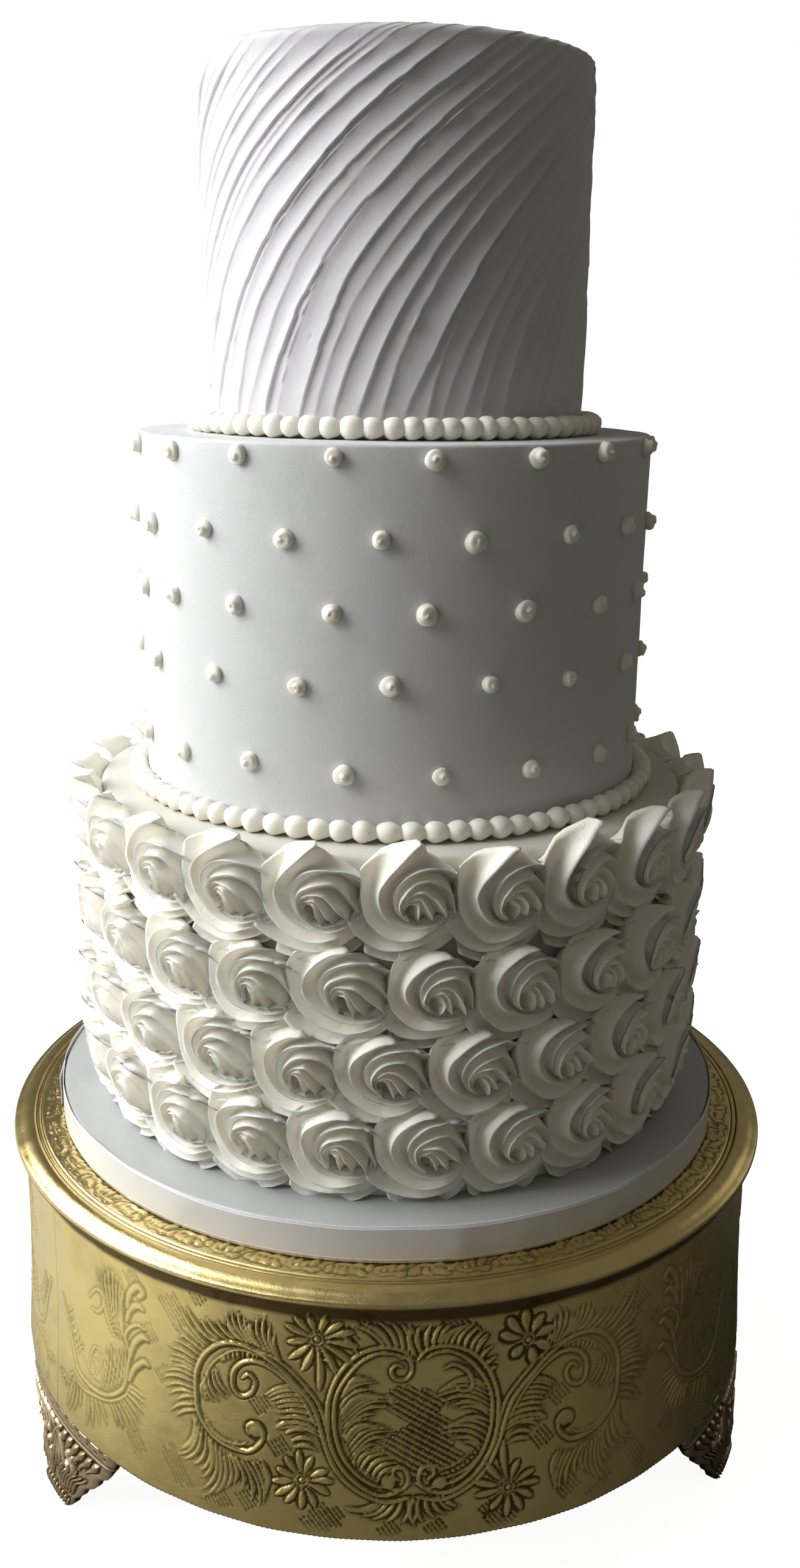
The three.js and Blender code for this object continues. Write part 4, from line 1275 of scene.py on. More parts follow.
# %% Stems of the panel
STEMS = {
    "heart outer": (0.95, 0.95, [(-1, 79.5), (-4.5, 84), (-12.5, 85.5), (-21.5, 82), (-28.5, 74),
        (-32.5, 63.5), (-33.5, 54), (-32.5, 43), (-29, 33.5), (-22.5, 25.5), (-14, 20.5), (-7, 21.5),
        (-1, 25.5)]),
    "heart inner": (0.85, 0.9, [(-4.5, 80.5), (-7.5, 82.5), (-13.5, 83), (-20.5, 79), (-26, 72),
        (-30, 63.5), (-31, 54), (-30, 44.5), (-26.5, 35), (-20, 27.5), (-13, 24), (-7.5, 24.5)]),
    "volute top": (0.85, 0.9, [(-7.5, 82.5), (-2.5, 80.5), (-1, 75.5), (-3.5, 71.5), (-7.5, 72),
        (-9, 75.5), (-7, 78), (-4.5, 77)]),
    "volute bottom": (0.85, 0.85, [(-12, 24), (-4.5, 23), (-2, 27), (-3.5, 32), (-7, 32.5), (-8, 29),
        (-5.5, 27)]),
    "stem outer": (1.15, 1.0, [(-1.5, 19.5), (-11.5, 17.5), (-22.5, 22.5), (-30, 30.5), (-34, 40),
        (-36.5, 49.5), (-39.5, 58), (-46, 66), (-53, 73), (-60.5, 77.5), (-68.5, 79.5), (-77, 77.5),
        (-84, 71), (-88, 62), (-88.5, 52), (-87.5, 44), (-83.5, 37.5), (-77.5, 33.5), (-70, 32),
        (-64.5, 33), (-60, 38), (-59.5, 43), (-62.5, 45.5), (-66, 43.5), (-65.5, 40)]),
    "stem inner": (0.8, 0.8, [(-28.5, 32), (-32, 40), (-34, 49.5), (-37, 59), (-42.5, 66.5), (-49, 73),
        (-55.5, 77), (-63, 79)]),
    "spiral inner": (1.05, 0.95, [(-38, 49.5), (-42.5, 59), (-49, 67), (-55, 71.5), (-61, 73.5),
        (-67, 72), (-71.5, 67), (-72, 60), (-69, 56.5), (-64.5, 58.5), (-62.5, 64), (-65, 67),
        (-68, 64.5)]),
    "spiral band": (0.6, 0.5, [(-85, 51.5), (-84, 60.5), (-80, 68.5), (-73, 75), (-67, 77), (-60.5, 76)]),
    "lower band": (0.7, 0.55, [(-84.5, 43), (-81, 37.5), (-75, 34.5), (-69, 34.5), (-66, 36.5)]),
    "lyre": (1.15, 0.85, [(-172.5, 58.5), (-168, 49.5), (-164.5, 40), (-159.5, 30), (-151, 27),
        (-142.5, 27.5), (-134.5, 30.5), (-127, 37.5), (-124.5, 47), (-123.5, 56), (-125.5, 61.5),
        (-123.5, 66.5), (-118, 71), (-114, 70.5)]),
    "lyre outer": (0.8, 0.6, [(-164.5, 24.5), (-155, 22.5), (-144.5, 24.5), (-134.5, 28), (-126, 34.5),
        (-122, 43.5)]),
    "lyre curl 1": (1.5, 0.8, [(-123.5, 42.5), (-120.5, 49.5), (-115, 55), (-112.5, 54.5)]),
    "lyre curl 2": (1.6, 0.8, [(-123, 53.5), (-120.5, 61), (-115.5, 66.5), (-112.5, 66.5)]),
    "lyre curl 3": (1.5, 0.8, [(-124.5, 70), (-122, 76.5), (-117.5, 80), (-114.5, 79.5)]),
    "lyre curl 4": (1.6, 0.8, [(-124, 77), (-122, 84), (-117, 89), (-114.5, 87), (-117, 84)]),
    "flame": (0.7, 0.4, [(-149, 31), (-150.5, 37.5), (-146, 47.5), (-141, 46), (-142.5, 40), (-147, 32)]),
    "flame in": (0.6, 0.35, [(-146, 36), (-147, 39.5), (-145.5, 44.5), (-143.5, 42)]),
    "bud": (0.9, 0.6, [(-150, 69.5), (-143, 76.5), (-138, 74), (-142, 66.5), (-148, 65.5)]),
    "lyre inner": (0.7, 0.45, [(-165, 58), (-161.5, 48.5), (-156.5, 40), (-148.5, 34), (-140.5, 33)]),
}
SWIRL = [(11.5, 75.5), (15.5, 77), (21, 73), (22.5, 66.5), (18.5, 65), (15.5, 68.5)]
BEADED = [(11.5, 26.5), (19, 29), (25, 33.5), (29, 40.5)]
BEADED_INNER = [(10, 30.5), (16.5, 32.5), (22, 37)]
print("stems:", ", ".join(STEMS))

# %% [markdown]
# Leaves in this kind of scrollwork are clusters of thin ribs that leave a stem at a slant and curl over.
# A cluster is given by the curve of its roots, the curve of its tips, how many ribs it has, how far they
# bend and how wide they are. The heart's filling and the sprays round it differ between left and right.

# %% Leaves of the panel
LEFT_RIBS = {
    "lobe A": ([(-28.5, 54.5), (-29, 61.5), (-26, 68)],
        [(-18, 64), (-13, 69), (-18.5, 71.5)], 5, 0.22, 0.85),
    "lobe B": ([(-27, 44), (-28, 50.5), (-28, 55.5)],
        [(-15.5, 53.5), (-4.5, 59.5), (-13.5, 63.5)], 7, 0.26, 0.85),
    "lobe C": ([(-23, 32.5), (-25, 37.5), (-26.5, 43)],
        [(-15.5, 40.5), (-5.5, 47), (-15.5, 51)], 7, 0.26, 0.85),
    "lobe D": ([(-12, 25), (-17.5, 28), (-22, 32)], [(-7.5, 31), (-5.5, 35), (-13, 39.5)], 6, 0.25, 0.85),
    "palmette L": ([(-10.5, 84.5), (-5.5, 83.5), (-1.5, 81.5)],
        [(-24, 94), (-12.5, 96.5), (-4, 96.5)], 6, -0.16, 1.1),
    "spray L": ([(-21.5, 82), (-25.5, 78.5), (-29, 74)],
        [(-30.5, 91), (-33, 84), (-35.5, 79)], 3, -0.1, 0.85),
    "fan L": ([(-0.5, 20), (-6.5, 18.5), (-13, 17.5)],
        [(-1.5, 6.5), (-17.5, 10), (-27.5, 15)], 7, 0.18, 0.85),
}
RIGHT_RIBS = {
    "lobe B": ([(29, 65.5), (30.5, 58.5), (30.5, 51.5)],
        [(11.5, 66), (6.5, 60), (15.5, 55.5)], 7, -0.26, 0.85),
    "lobe C": ([(30, 49.5), (29, 42.5), (26.5, 37)], [(16, 50), (9.5, 46), (18, 41.5)], 6, -0.22, 0.85),
    "palmette R": ([(0.5, 81.5), (5, 83.5), (9, 84)], [(-1, 95.5), (7, 95.5), (14.5, 95)], 5, 0.14, 1.1),
    "spray R": ([(9, 84), (16, 83), (23.5, 79)], [(18, 93), (24, 94), (29.5, 89)], 7, 0.18, 0.85),
    "spray R2": ([(23, 79), (26, 75.5), (29, 71)], [(29.5, 87.5), (32.5, 80.5), (33, 74)], 4, 0.15, 0.85),
    "fan R": ([(0.5, 20), (6, 19.5), (11, 20.5)], [(2, 6), (12, 10), (19, 14)], 6, -0.18, 0.85),
}
MIRRORED_RIBS = {
    "ticks": ([(-76.5, 69), (-69.5, 73), (-62, 74.5)], [(-77, 72.5), (-70, 76), (-61.5, 77)], 9, 0, 0.5),
    "in spiral L": ([(-73, 55), (-79, 50.5), (-84.5, 50)],
        [(-78.5, 67), (-82.5, 63), (-85, 58)], 6, 0.18, 0.7),
    "in spiral R": ([(-59.5, 58.5), (-54, 54.5), (-54.5, 45)],
        [(-39, 61), (-35.5, 51), (-33.5, 40)], 9, 0.24, 0.85),
    "in spiral R2": ([(-54.5, 45), (-49, 42), (-47.5, 38)],
        [(-45, 48), (-39, 43.5), (-36.5, 37)], 4, 0.2, 0.85),
    "low ticks": ([(-82.5, 41), (-77.5, 36), (-69.5, 35)],
        [(-85, 39), (-79, 33.5), (-70, 32.5)], 9, 0, 0.5),
    "fan 1": ([(-89.5, 41), (-86.5, 38), (-83, 34.5)], [(-97, 24.5), (-98, 20), (-87, 18)], 6, 0.2, 0.95),
    "fan 2": ([(-83, 34.5), (-78, 31.5), (-73.5, 29)],
        [(-87, 17.5), (-86, 6.5), (-72.5, 15.5)], 7, 0.2, 1.0),
    "fan 3": ([(-73, 29.5), (-66.5, 28.5), (-60, 30)],
        [(-71, 17.5), (-61.5, 8.5), (-58, 17)], 7, 0.16, 0.95),
    "up 1": ([(-51.5, 75), (-55, 77), (-58, 78.5)],
        [(-53.5, 87.5), (-57, 95), (-63.5, 91)], 5, 0.16, 0.95),
    "up 2": ([(-59, 79.5), (-62.5, 80), (-65.5, 80.5)],
        [(-64.5, 89.5), (-68.5, 94.5), (-74, 92)], 5, 0.16, 0.95),
    "up 3": ([(-66.5, 80.5), (-71, 80), (-76, 78.5)],
        [(-74, 87.5), (-81, 88.5), (-85.5, 86.5)], 4, 0.12, 1.0),
    "up 4": ([(-76.5, 78), (-80.5, 76), (-83.5, 72)], [(-88.5, 82), (-94.5, 93), (-98, 81)], 4, 0.1, 1.0),
    "up 5": ([(-84, 71), (-86.5, 66.5), (-88, 62)],
        [(-96.5, 75), (-101.5, 67.5), (-100.5, 62)], 5, -0.12, 0.9),
    "up 6": ([(-88, 60.5), (-88.5, 56), (-88.5, 51)],
        [(-100, 59), (-105, 51.5), (-101.5, 45.5)], 5, -0.16, 0.85),
    "up 7": ([(-88.5, 50), (-88.5, 46.5), (-87.5, 44)],
        [(-97.5, 44.5), (-101, 38), (-98, 37)], 3, -0.12, 0.85),
    "lyre up": ([(-133, 59), (-129.5, 59.5), (-126.5, 61)],
        [(-142.5, 87), (-132.5, 93.5), (-125, 87)], 8, 0.06, 0.8),
    "lyre lines": ([(-142, 29.5), (-135, 32.5), (-128, 39)],
        [(-138, 54.5), (-132.5, 56), (-126, 58)], 7, -0.05, 0.5),
    "lyre leafs": ([(-167.5, 53), (-164, 43.5), (-159.5, 37)],
        [(-162.5, 57.5), (-158.5, 49), (-153.5, 43.5)], 7, 0.1, 0.6),
    "lyre spray a": ([(-128, 34.5), (-126, 37), (-124.5, 39.5)],
        [(-117.5, 26.5), (-114.5, 33), (-114.5, 38.5)], 4, 0.1, 0.85),
    "lyre spray b": ([(-136, 28.5), (-132, 30), (-129, 32.5)],
        [(-130.5, 17.5), (-123.5, 18.5), (-118.5, 22.5)], 5, 0.1, 0.85),
    "lyre spray c": ([(-151.5, 23), (-148, 23.5), (-143.5, 25)],
        [(-153, 5.5), (-145.5, 9), (-137.5, 14.5)], 4, 0.08, 0.85),
    "lyre spray d": ([(-163.5, 22), (-160, 22), (-157, 22)],
        [(-170.5, 5), (-166, 4.5), (-158, 12)], 4, 0.05, 0.85),
    "star": ([(-170, 20), (-169, 20), (-167.5, 21.5)],
        [(-177.5, 20), (-169.5, 14.5), (-162, 26.5)], 6, 0, 0.6),
}
print("leaf clusters:", len(LEFT_RIBS) + len(RIGHT_RIBS) + 2 * len(MIRRORED_RIBS))

# %% [markdown]
# Four flowers sit between the scrolls. Each has its middle and, for every petal, its angle in degrees and
# its length. What is left of the ground is hatched: a few long strokes side by side, crossed by ticks.

# %% Flowers and hatching of the panel
FLOWERS = {
    "upper left": ((-37.5, 87.5), [(158, 13.5), (-168, 12.3), (-139, 15.2), (-113, 16.3), (-89, 23.5),
        (-64, 16.1), (-36, 17.2), (-9, 16.7), (15, 15.5), (37, 13.2), (68, 11.9), (105, 11.9),
        (133, 13.1)]),
    "lower left": ((-43.5, 24), [(-171, 12.2), (158, 10.8), (123, 11.9), (94, 13.5), (68, 11.9),
        (28, 11.9), (4, 13), (-24, 12.1), (-64, 12.7), (-92, 13), (-121, 12.8), (-144, 13.6)]),
    "upper right": ((45, 83), [(157, 12.5), (126, 14.3), (94, 14), (56, 11.5), (13, 11.3), (-34, 11.5),
        (-77, 11.3), (-137, 8.8)]),
    "lower right": ((38, 18.5), [(158, 16.2), (125, 16.5), (95, 22.1), (69, 12.8), (26, 12.7), (-2, 13.5),
        (-34, 12.6), (-65, 13.2), (-94, 13.5), (-131, 11.3), (-176, 14)]),
}
# Middle, angle, length, number of strokes
HATCHES = [
    ((-16, 95), -50, 13, 5), ((-119.5, 90), -54, 12, 5), ((-98, 85), -54, 15, 6), ((-87, 95), -54, 9, 4),
    ((-104, 54), -54, 8, 5), ((-98, 14), -58, 19, 5), ((-79.5, 4.5), -56, 8, 9), ((-36, 6.5), -52, 12, 8),
    ((-9, 4.5), -56, 7, 5), ((-60, 54), -54, 8, 5), ((-52.5, 37), -56, 9, 5), ((-64.5, 11), -54, 9, 6),
    ((-24.5, 90), -52, 10, 3), ((-30, 10), -54, 8, 4), ((-119, 16), -56, 10, 5), ((-111, 70), -56, 9, 4),
]
# In mm: the gap between two strokes of a hatching, a dash's length with its gap, half width and depth
HATCH_GAP, DASH_STEP, DASH_WIDTH, DASH_DEPTH = 1.75, 1.9, 0.46, 0.34
# The outline of the heart's beaded ground, the way its rows run and the gaps between rows and beads
BEADED_GROUND = [(-10, 67), (0, 69), (14, 60.5), (8, 56), (19, 48), (13, 45), (20, 35), (9, 29), (-3, 29),
    (-9, 38), (-14, 42), (-2, 51), (-12, 60)]
BEAD_WAY = np.array([0.83, -0.56])
BEAD_ROW_GAP, BEAD_GAP = 2.35, 1.5


def ribs(sheet, roots, tips, count, bend, wide, flip=1):
    """Leaves side by side, from a curve of roots to a curve of tips."""
    side = np.array([flip, 1.0])
    for root, tip in zip(through(roots, count), through(tips, count)):
        leaf(sheet, root * side, tip * side, bend * flip, wide, 0.7, 0.45)


def flower(sheet, centre, petals):
    """A daisy: petals of uneven length round a ring and a boss."""
    centre = np.asarray(centre, float)
    wide = 1.95 if len(petals) < 10 else 1.35
    for angle, length in petals:
        way = heading(angle)
        leaf(sheet, centre + way * 3.0, centre + way * length, 0.05, wide, 0.75, 0.6)
        sheet.stroke([centre + way * 4, centre + way * length * 0.7], [0.25, 0.25], 0.25, 0.0)
    turn = np.linspace(0, 2 * math.pi, 14)
    ring = centre + np.stack([np.cos(turn), np.sin(turn)], 1) * 2.3
    sheet.stroke(ring, np.full(14, 0.5), 0.6)
    blow(sheet, centre, 1.2, 0.8)


def hatching(sheet, centre, angle, length, count, rng):
    """Engraved strokes side by side, each broken into dashes by the ticks that cross it."""
    way = heading(angle)
    side = np.array([-way[1], way[0]])
    for k in range(count):
        middle = centre + side * (k - (count - 1) / 2) * HATCH_GAP
        reach = length * rng.uniform(0.75, 1.1)
        dashes = max(int(reach / DASH_STEP), 2)
        for dash in range(dashes):
            first = (dash / dashes - 0.5) * reach + rng.uniform(-0.15, 0.15)
            last = first + reach / dashes * 0.62
            ends = [middle + way * first, middle + way * last]
            sheet.stroke(ends, [DASH_WIDTH, DASH_WIDTH], -DASH_DEPTH, groove=0.0)


def inside(place, outline):
    """Whether a place lies inside an outline, by counting the edges to its right."""
    crossed = False
    for (x0, y0), (x1, y1) in zip(outline, outline[1:] + outline[:1]):
        if (y0 > place[1]) != (y1 > place[1]) and place[0] < x0 + (place[1] - y0) / (y1 - y0) * (x1 - x0):
            crossed = not crossed
    return crossed


def beaded_rows(sheet):
    """The heart's ground: slanting rows of punched beads between its leaves."""
    side = np.array([-BEAD_WAY[1], BEAD_WAY[0]])
    half = BEAD_WAY * 0.42
    for row in range(-8, 9):
        for bead in range(-18, 19):
            place = np.array([2.5, 50.5]) + side * row * BEAD_ROW_GAP + BEAD_WAY * bead * BEAD_GAP
            if inside(place, BEADED_GROUND):
                sheet.stroke([place - half, place + half], [0.66, 0.66], 0.5)


# Middle and radius of the smooth bosses between the stems
BOSSES = [(-9.5, 26.5, 2.6), (10.5, 24.5, 2.6), (-62.5, 42.5, 3.0), (62.5, 42.5, 3.0)]


def panel_sheet():
    """A third of the skirt with its whole pattern, from the ground up to the flowers."""
    sheet = Chasing(PANEL_WIDTH, SKIRT_HEIGHT_MM)
    rng = np.random.default_rng(33)
    beaded_rows(sheet)
    for (x, y), angle, length, count in HATCHES:
        for flip in (1, -1):
            hatching(sheet, np.array([x * flip, y]), angle, length, count, rng)
    for clusters, sides in ((LEFT_RIBS, [1]), (RIGHT_RIBS, [1]), (MIRRORED_RIBS, [1, -1])):
        for flip in sides:
            for roots, tips, count, bend, wide in clusters.values():
                ribs(sheet, np.array(roots), np.array(tips), count, bend, wide, flip)
    for name, (wide, height, places) in STEMS.items():
        for flip in (1, -1):
            if flip < 0 and name == "volute top":
                continue
            line(sheet, np.array(places) * [flip, 1.0], wide, height * 0.85, 8 * len(places), 0.55)
    line(sheet, SWIRL, 0.9, 0.75, 40, 0.4)
    for course in (BEADED, BEADED_INNER):
        line(sheet, course, 0.5, 0.45, 24)
    between = through(BEADED, 101) * 0.55 + through(BEADED_INNER, 101) * 0.45
    for share in np.linspace(0.05, 0.95, 9):
        middle = between[int(share * 100)]
        sheet.stroke([middle, middle + 0.1], [0.8, 0.8], 0.4)
    for x, y, radius in BOSSES:
        blow(sheet, (x, y), radius, 0.45)
    for centre, petals in FLOWERS.values():
        flower(sheet, centre, petals)
    return sheet


SKIRT_HEIGHT_MM = (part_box("stand_skirt")[1].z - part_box("stand_skirt")[0].z) / MM
SKIRT_MEAN_RADIUS = 171.2 * MM
PANEL_WIDTH = 2 * math.pi / 3 * SKIRT_MEAN_RADIUS / MM
skirt_sheet = panel_sheet()
skirt_hollows = skirt_sheet.hollows()
panel_size = round(PANEL_WIDTH), round(SKIRT_HEIGHT_MM)
print("panel in mm", panel_size, "deepest", skirt_sheet.relief.min().round(2))

# %% [markdown]
# The drawn sheet becomes metal: a net of points, about 0.6 mm apart, is laid over each third of the skirt
# and lifted by the relief. Behind it lies a plain, much coarser wall, joined to it all round the edge, so
# that each third is one closed shell. The joints between the thirds lie over the feet.

# %% A sheet with a coarse back
COARSE = 8


def join_edges(fine, coarse):
    """Triangles between a finely divided edge and the same edge with every eighth point."""
    triangles = []
    for k in range(len(coarse) - 1):
        run = fine[k * COARSE : (k + 1) * COARSE + 1]
        half = COARSE // 2
        for j in range(COARSE):
            triangles.append((run[j], coarse[k] if j < half else coarse[k + 1], run[j + 1]))
        triangles.append((run[half], coarse[k], coarse[k + 1]))
    return triangles


def backed_sheet(name, front, back, hollows, behind):
    """A closed mesh from a fine front grid (rows, columns, 3) and a back on every eighth point of it.

    hollows says how sunken each point of the front is, and behind says so for the whole back.
    """
    rows, columns = front.shape[:2]
    fine = np.arange(rows * columns).reshape(rows, columns)
    back = back[::COARSE, ::COARSE]
    coarse = rows * columns + np.arange(back.shape[0] * back.shape[1]).reshape(back.shape[:2])
    back_quads = grid_quads(*back.shape[:2])[:, ::-1] + rows * columns
    edges = join_edges(fine[0, ::-1], coarse[0, ::-1]) + join_edges(fine[-1], coarse[-1])
    edges += join_edges(fine[:, 0], coarse[:, 0]) + join_edges(fine[::-1, -1], coarse[::-1, -1])
    points = np.concatenate([front.reshape(-1, 3), back.reshape(-1, 3)])
    quads = np.concatenate([grid_quads(rows, columns), back_quads])
    piece = mesh_piece(name, points, quads, np.array(edges)[:, ::-1])
    mark_hollows(piece, np.concatenate([hollows.ravel(), np.full(coarse.size, behind)]))
    return piece


# %% The skirt
PANEL_AZIMUTHS = [4.0, 124.0, 244.0]
PANEL_COLUMNS, PANEL_ROWS = 568, 168
SKIRT_WALL = 1.6 * MM
# The lower edge is nicked like a saw, one tooth in so many mm
TOOTH_LENGTH = 2.1
# Beside the heart the relief is worn: in mm, how far from the heart that starts and how soon it is complete
WORN_FROM, WORN_OVER = 58, 32
PROFILE_HEIGHTS = np.array([0, 5, 20, 36, 50, 62, 76, 92, 103]) * MM
PROFILE_RADII = np.array([173.1, 172.8, 171.8, 170.8, 170.2, 169.9, 169.7, 169.4, 169.1]) * MM
skirt_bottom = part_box("stand_skirt")[0].z


def skirt_panel(index):
    """One third of the skirt, between two feet."""
    share = np.linspace(-0.5, 0.5, PANEL_COLUMNS + 1)[None]
    height = np.linspace(0, SKIRT_HEIGHT_MM * MM, PANEL_ROWS + 1)[:, None]
    azimuth = math.radians(PANEL_AZIMUTHS[index]) + share * 2 * math.pi / 3
    x, y = share * PANEL_WIDTH, height / MM
    worn = np.clip((np.abs(x + 10) - WORN_FROM) / WORN_OVER, 0, 1)
    relief = skirt_sheet.sample(x, y) * (1.05 - 0.55 * worn) * MM
    hollow = skirt_hollows.sample(x, y) * (1 - 0.62 * worn)
    edge = np.clip((y - 0.3) / 5.0, 0, 1) * np.clip((SKIRT_HEIGHT_MM - y) / 2.0, 0, 1)
    profile = np.interp(height, PROFILE_HEIGHTS, PROFILE_RADII)
    ripple = 0.12 * MM * np.sin(azimuth * 17 + y * 0.05) + 0.1 * MM * np.sin(azimuth * 41)
    teeth = 0.18 * MM * np.sin(x * 2 * math.pi / TOOTH_LENGTH) * (y < 1.0)
    front = ring_point(azimuth, profile + ripple + relief * edge, skirt_bottom + height + teeth)
    back = ring_point(azimuth, profile - SKIRT_WALL, skirt_bottom + height)
    # Painted shadow: a band at the top of the skirt, where the rolled rim overhangs it, gets the tarnish
    # colour.
    painted_shadow_under_rim = np.clip((y - SKIRT_HEIGHT_MM + 7.5) / 3.0, 0, 1)
    hollow = np.maximum(hollow * edge, painted_shadow_under_rim)
    return backed_sheet(f"skirt_panel_{index + 1}", front, back, hollow, 0.5)


for index in range(3):
    finish_piece(skirt_panel(index), sheet_brass, "stand_gold", "stand_skirt")

# %% [markdown]
# ## The rim of the stand
# The stand's top is a spun plate. Outside the drum it shows a band of small embossed leaves, two turned
# lines, a smooth swelling band and a rolled edge that catches the light. It is modelled as the maker
# spins it: half a section in edit mode, turned once round the axis.

# %% The rim
_, _, plate_top = node_ring("stand_top")
RIM_STEPS = 900
# The embossed band, from its inner to its outer edge
BAND_INNER, BAND_OUTER = 150.5 * MM, 161.6 * MM
BAND_MIDDLE = 156
# In mm: the radii of the two turned lines, and the rolled edge in the section
TURNED_LINES = (162.5, 164.7)
ROLL_MIDDLE, ROLL_RADIUS = np.array([172.3, -4.0]), 2.4


def rim_section():
    """Radius and height in mm below the plate's top, from the middle out, round the roll and back."""
    section = [(0, 0), (60, 0), (120, 0), (150, 0)]
    section += [(radius, 0) for radius in np.arange(151, 162, 0.7)]
    section += [(162.0, -0.1), (TURNED_LINES[0], -0.8), (163.0, -0.2), (164.2, -0.1)]
    section += [(TURNED_LINES[1], -0.7), (165.2, 0.1)]
    section += [(166.6, 0.35), (168.2, 0.25), (169.8, -0.25), (171.2, -1.0), (172.4, -2.0)]
    section += [ROLL_MIDDLE + ROLL_RADIUS * heading(angle) for angle in range(50, -131, -20)]
    return section + [(169.5, -5.6), (166, -5.4), (120, -5.4), (60, -5.4), (0, -5.4)]


bpy.ops.object.select_all(action="DESELECT")
section_mesh = bpy.data.meshes.new("spun_rim")
rim = bpy.data.objects.new("spun_rim", section_mesh)
bpy.context.scene.collection.objects.link(rim)
outline = [(radius * MM, 0, plate_top + down * MM) for radius, down in rim_section()]
section_mesh.from_pydata(outline, [(k, k + 1) for k in range(len(outline) - 1)], [])
edit(rim)
bpy.ops.mesh.select_all(action="SELECT")
bpy.ops.mesh.spin(steps=RIM_STEPS, angle=2 * math.pi, center=(0, 0, 0), axis=(0, 0, 1))
bpy.ops.mesh.select_all(action="SELECT")
bpy.ops.mesh.remove_doubles(threshold=0.02 * MM)
bpy.ops.mesh.normals_make_consistent(inside=False)
leave(rim)


def band_sheet():
    """The embossed leaves of the rim, drawn for a sixth of it: x along and y outwards."""
    sheet = Chasing(BAND_WIDTH, 11.5)
    rng = np.random.default_rng(12)
    for k in range(-5, 6):
        x = k * BAND_WIDTH / 10 + rng.uniform(-1, 1)
        up = 1 if k % 2 else -1
        middle = 5.4 - up * 2.2
        stem = [(x - 7, middle + up * 3.6), (x - 1, middle - up * 0.6), (x + 6, middle + up)]
        line(sheet, stem, 0.9, 0.45, 16)
        for j in range(5):
            root = np.array([x - 4.5 + j * 2.4, middle + up * 0.5])
            tip = root + [rng.uniform(-1.5, 0.5) + j, up * rng.uniform(3.8, 5.6)]
            leaf(sheet, root, tip, 0.22 * up, 1.5, 0.5)
        leaf(sheet, [x + 3.0, middle], [x + 8.0, middle + up * 1.6], -0.3 * up, 1.4, 0.45)
    return sheet


BAND_WIDTH = math.pi / 3 * BAND_MIDDLE
band = band_sheet()
band_hollows = band.hollows()
rim_points = np.zeros(len(rim.data.vertices) * 3, np.float32)
rim.data.vertices.foreach_get("co", rim_points)
rim_points = rim_points.reshape(-1, 3).astype(float)
rim_radius = np.hypot(rim_points[:, 0], rim_points[:, 1])
rim_azimuth = np.arctan2(rim_points[:, 0], -rim_points[:, 1])
band_x = (rim_azimuth * BAND_MIDDLE + BAND_WIDTH / 2) % BAND_WIDTH - BAND_WIDTH / 2
band_y = (rim_radius - BAND_INNER) / MM
on_top = rim_points[:, 2] > plate_top - 2 * MM
on_band = (rim_radius > BAND_INNER) & (rim_radius < BAND_OUTER) & on_top
rim_points[:, 2] += np.where(on_band, band.sample(band_x, band_y) * 0.8 * MM, 0)
rim.data.vertices.foreach_set("co", rim_points.astype(np.float32).ravel())
rim.data.update()
shade(rim, 50)
grooves = (np.abs(rim_radius[:, None] - np.array(TURNED_LINES) * MM) < 0.4 * MM).any(1)
# Painted shadow: the underside of the rolled edge gets the tarnish colour as the shade under the roll.
under = np.clip((plate_top - 3.6 * MM - rim_points[:, 2]) / (1.2 * MM), 0, 1)
among_leaves = band_hollows.sample(band_x, band_y) * 0.6
mark_hollows(rim, np.where(on_band, among_leaves, grooves * 0.8 + under * 0.9))
finish_piece(rim, rim_brass, "stand_gold", "stand_top")

# %% [markdown]
# ## The cast feet
# Each foot is a casting, soldered under the skirt's edge. A plain band with a row of punched dots runs
# along its top. Below the band an acanthus leaf curls round a scroll and narrows to a small pad. The foot
# uses the same punch as the skirt, with deeper strokes, on a sheet that narrows as the foot does.

# %% The feet
FOOT_AZIMUTHS = [-56.0, 64.0, 184.0]
FOOT_HEIGHT_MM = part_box("stand_foot_1")[1].z / MM
FOOT_HALF_WIDTH = 15.2
FOOT_COLUMNS, FOOT_ROWS = 160, 96
FOOT_LEVELS = np.array([0, 3, 8, 14, 24, 32, 39, 46])
FOOT_WIDTHS = np.array([3.2, 4.4, 5.6, 7.2, 10.6, 13.0, 14.9, 15.2]) / FOOT_HALF_WIDTH
FOOT_RADII = np.array([175.5, 175.4, 175.0, 174.2, 173.2, 172.6, 172.6, 173.0])
FOOT_THICK = 4.5
FOOT_SHEET = 92.0


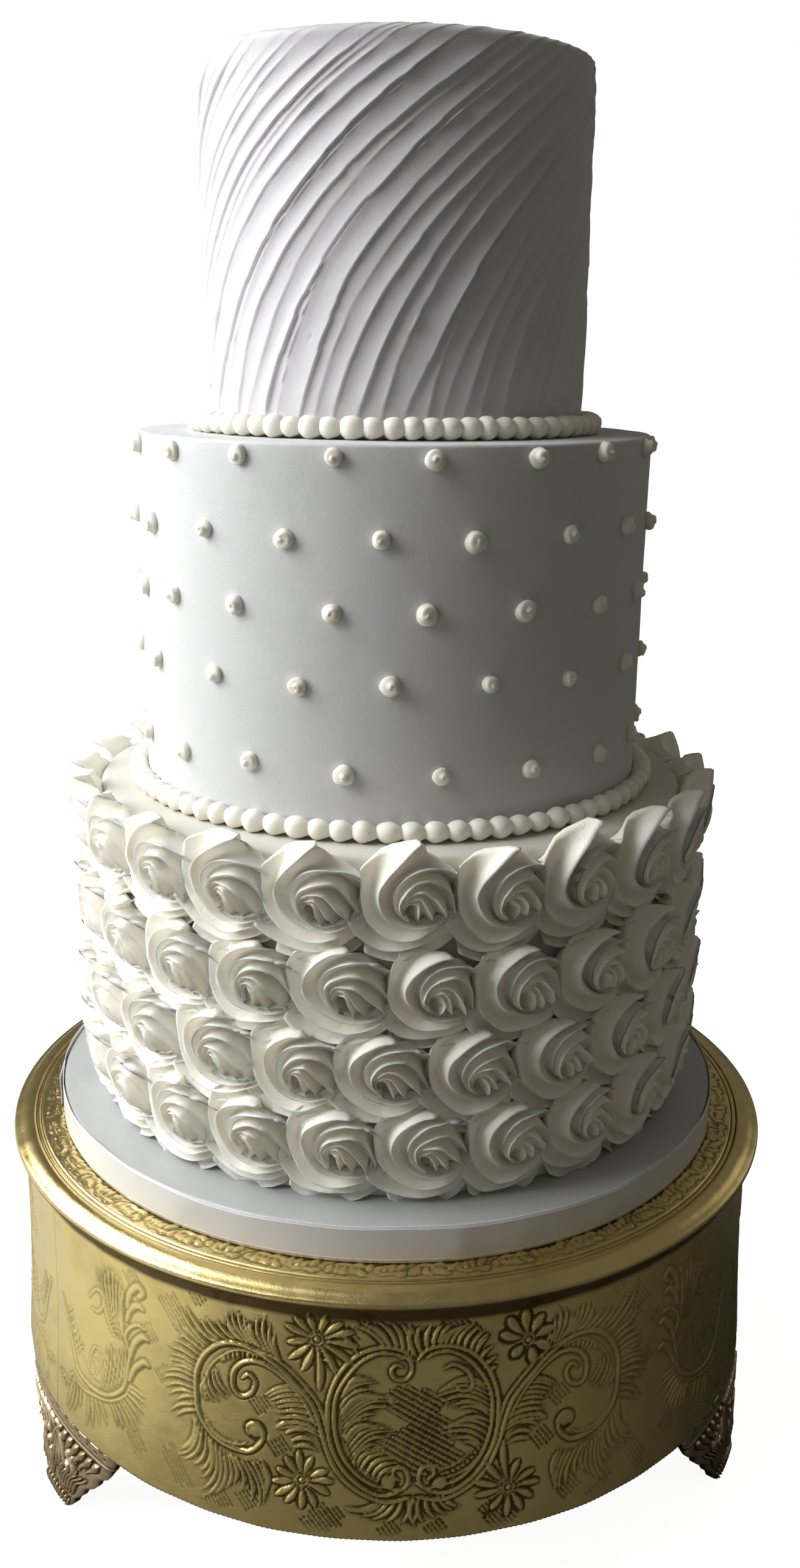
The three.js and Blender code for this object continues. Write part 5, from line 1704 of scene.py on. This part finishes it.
def foot_sheet():
    """The relief of one foot, flattened to a sheet whose lower part is squeezed when it is laid on."""
    sheet = Chasing(FOOT_SHEET, FOOT_HEIGHT_MM)
    edge = FOOT_SHEET / 2
    line(sheet, [(-edge, 38.8), (0, 38.8), (edge, 38.8)], 0.7, 0.7, 80, 1.0)
    for flip in (1, -1):
        mirror = np.array([flip, 1.0])
        eye, beside = np.array([-15, 17]) * mirror, np.array([-14.9, 17]) * mirror
        curl = volute(eye, 10.5, 80 if flip > 0 else 100, 1.6, flip, 34)
        sheet.stroke(curl, np.linspace(3.0, 1.2, 34), 2.4, groove=1.1)
        sheet.stroke([eye, beside], [2.0, 2.0], 2.2, groove=1.0)
        for k in range(7):
            root = np.array([-40 + k * 6.0, 36.5])
            tip = root + [4.0, -10 - 2.0 * math.sin(k)]
            leaf(sheet, root * mirror, tip * mirror, 0.25 * flip, 2.2, 1.9, 0.5)
        for k in range(6):
            root = np.array([-38 + k * 5.0, 24 - k * 1.5])
            leaf(sheet, root * mirror, (root + [-1.0, -14 + k]) * mirror, 0.3 * flip, 2.0, 1.7, 0.5)
    for angle in (228, 250, 270, 290, 312):
        root = np.array([0.0, 34.0])
        leaf(sheet, root, root + heading(angle) * 20, 0.0, 2.3, 2.2, 0.5)
    for k in range(-4, 5):
        blow(sheet, (k * 9.5, 2.6), 3.0, 1.4, 0.6)
    for k in range(-6, 7):
        blow(sheet, (k * 6.6 + 1, 42.4), 0.75, -1.1, 0.0)
    return sheet


cast_sheet = foot_sheet()
cast_hollows = cast_sheet.hollows()


def cast_foot(index):
    """One foot: the sheet bent round under the skirt and narrowed towards the ground."""
    across = np.linspace(-1, 1, FOOT_COLUMNS + 1)[None]
    height = np.linspace(0, FOOT_HEIGHT_MM, FOOT_ROWS + 1)[:, None]
    width = np.interp(height, FOOT_LEVELS, FOOT_WIDTHS)
    lobes = 1 + 0.035 * np.sin(height * 0.62 + 0.6) * (height < 38)
    azimuth = math.radians(FOOT_AZIMUTHS[index]) + np.radians(FOOT_HALF_WIDTH) * across * width * lobes
    x = across * FOOT_SHEET / 2 * 0.999
    relief, hollow = cast_sheet.sample(x, height), cast_hollows.sample(x, height)
    edge = np.clip((1 - np.abs(across)) / 0.07, 0, 1) ** 0.6
    plain = np.interp(height, FOOT_LEVELS, FOOT_RADII)
    radius = plain + relief * 0.8 * edge - (1 - edge) * 1.2
    front = ring_point(azimuth, radius * MM, height * MM)
    back = ring_point(azimuth, (plain - FOOT_THICK) * MM, height * MM)
    return backed_sheet(f"cast_foot_{index + 1}", front, back, hollow, 0.6)


for index in range(3):
    finish_piece(cast_foot(index), cast_brass, "foot_gold", f"stand_foot_{index + 1}")
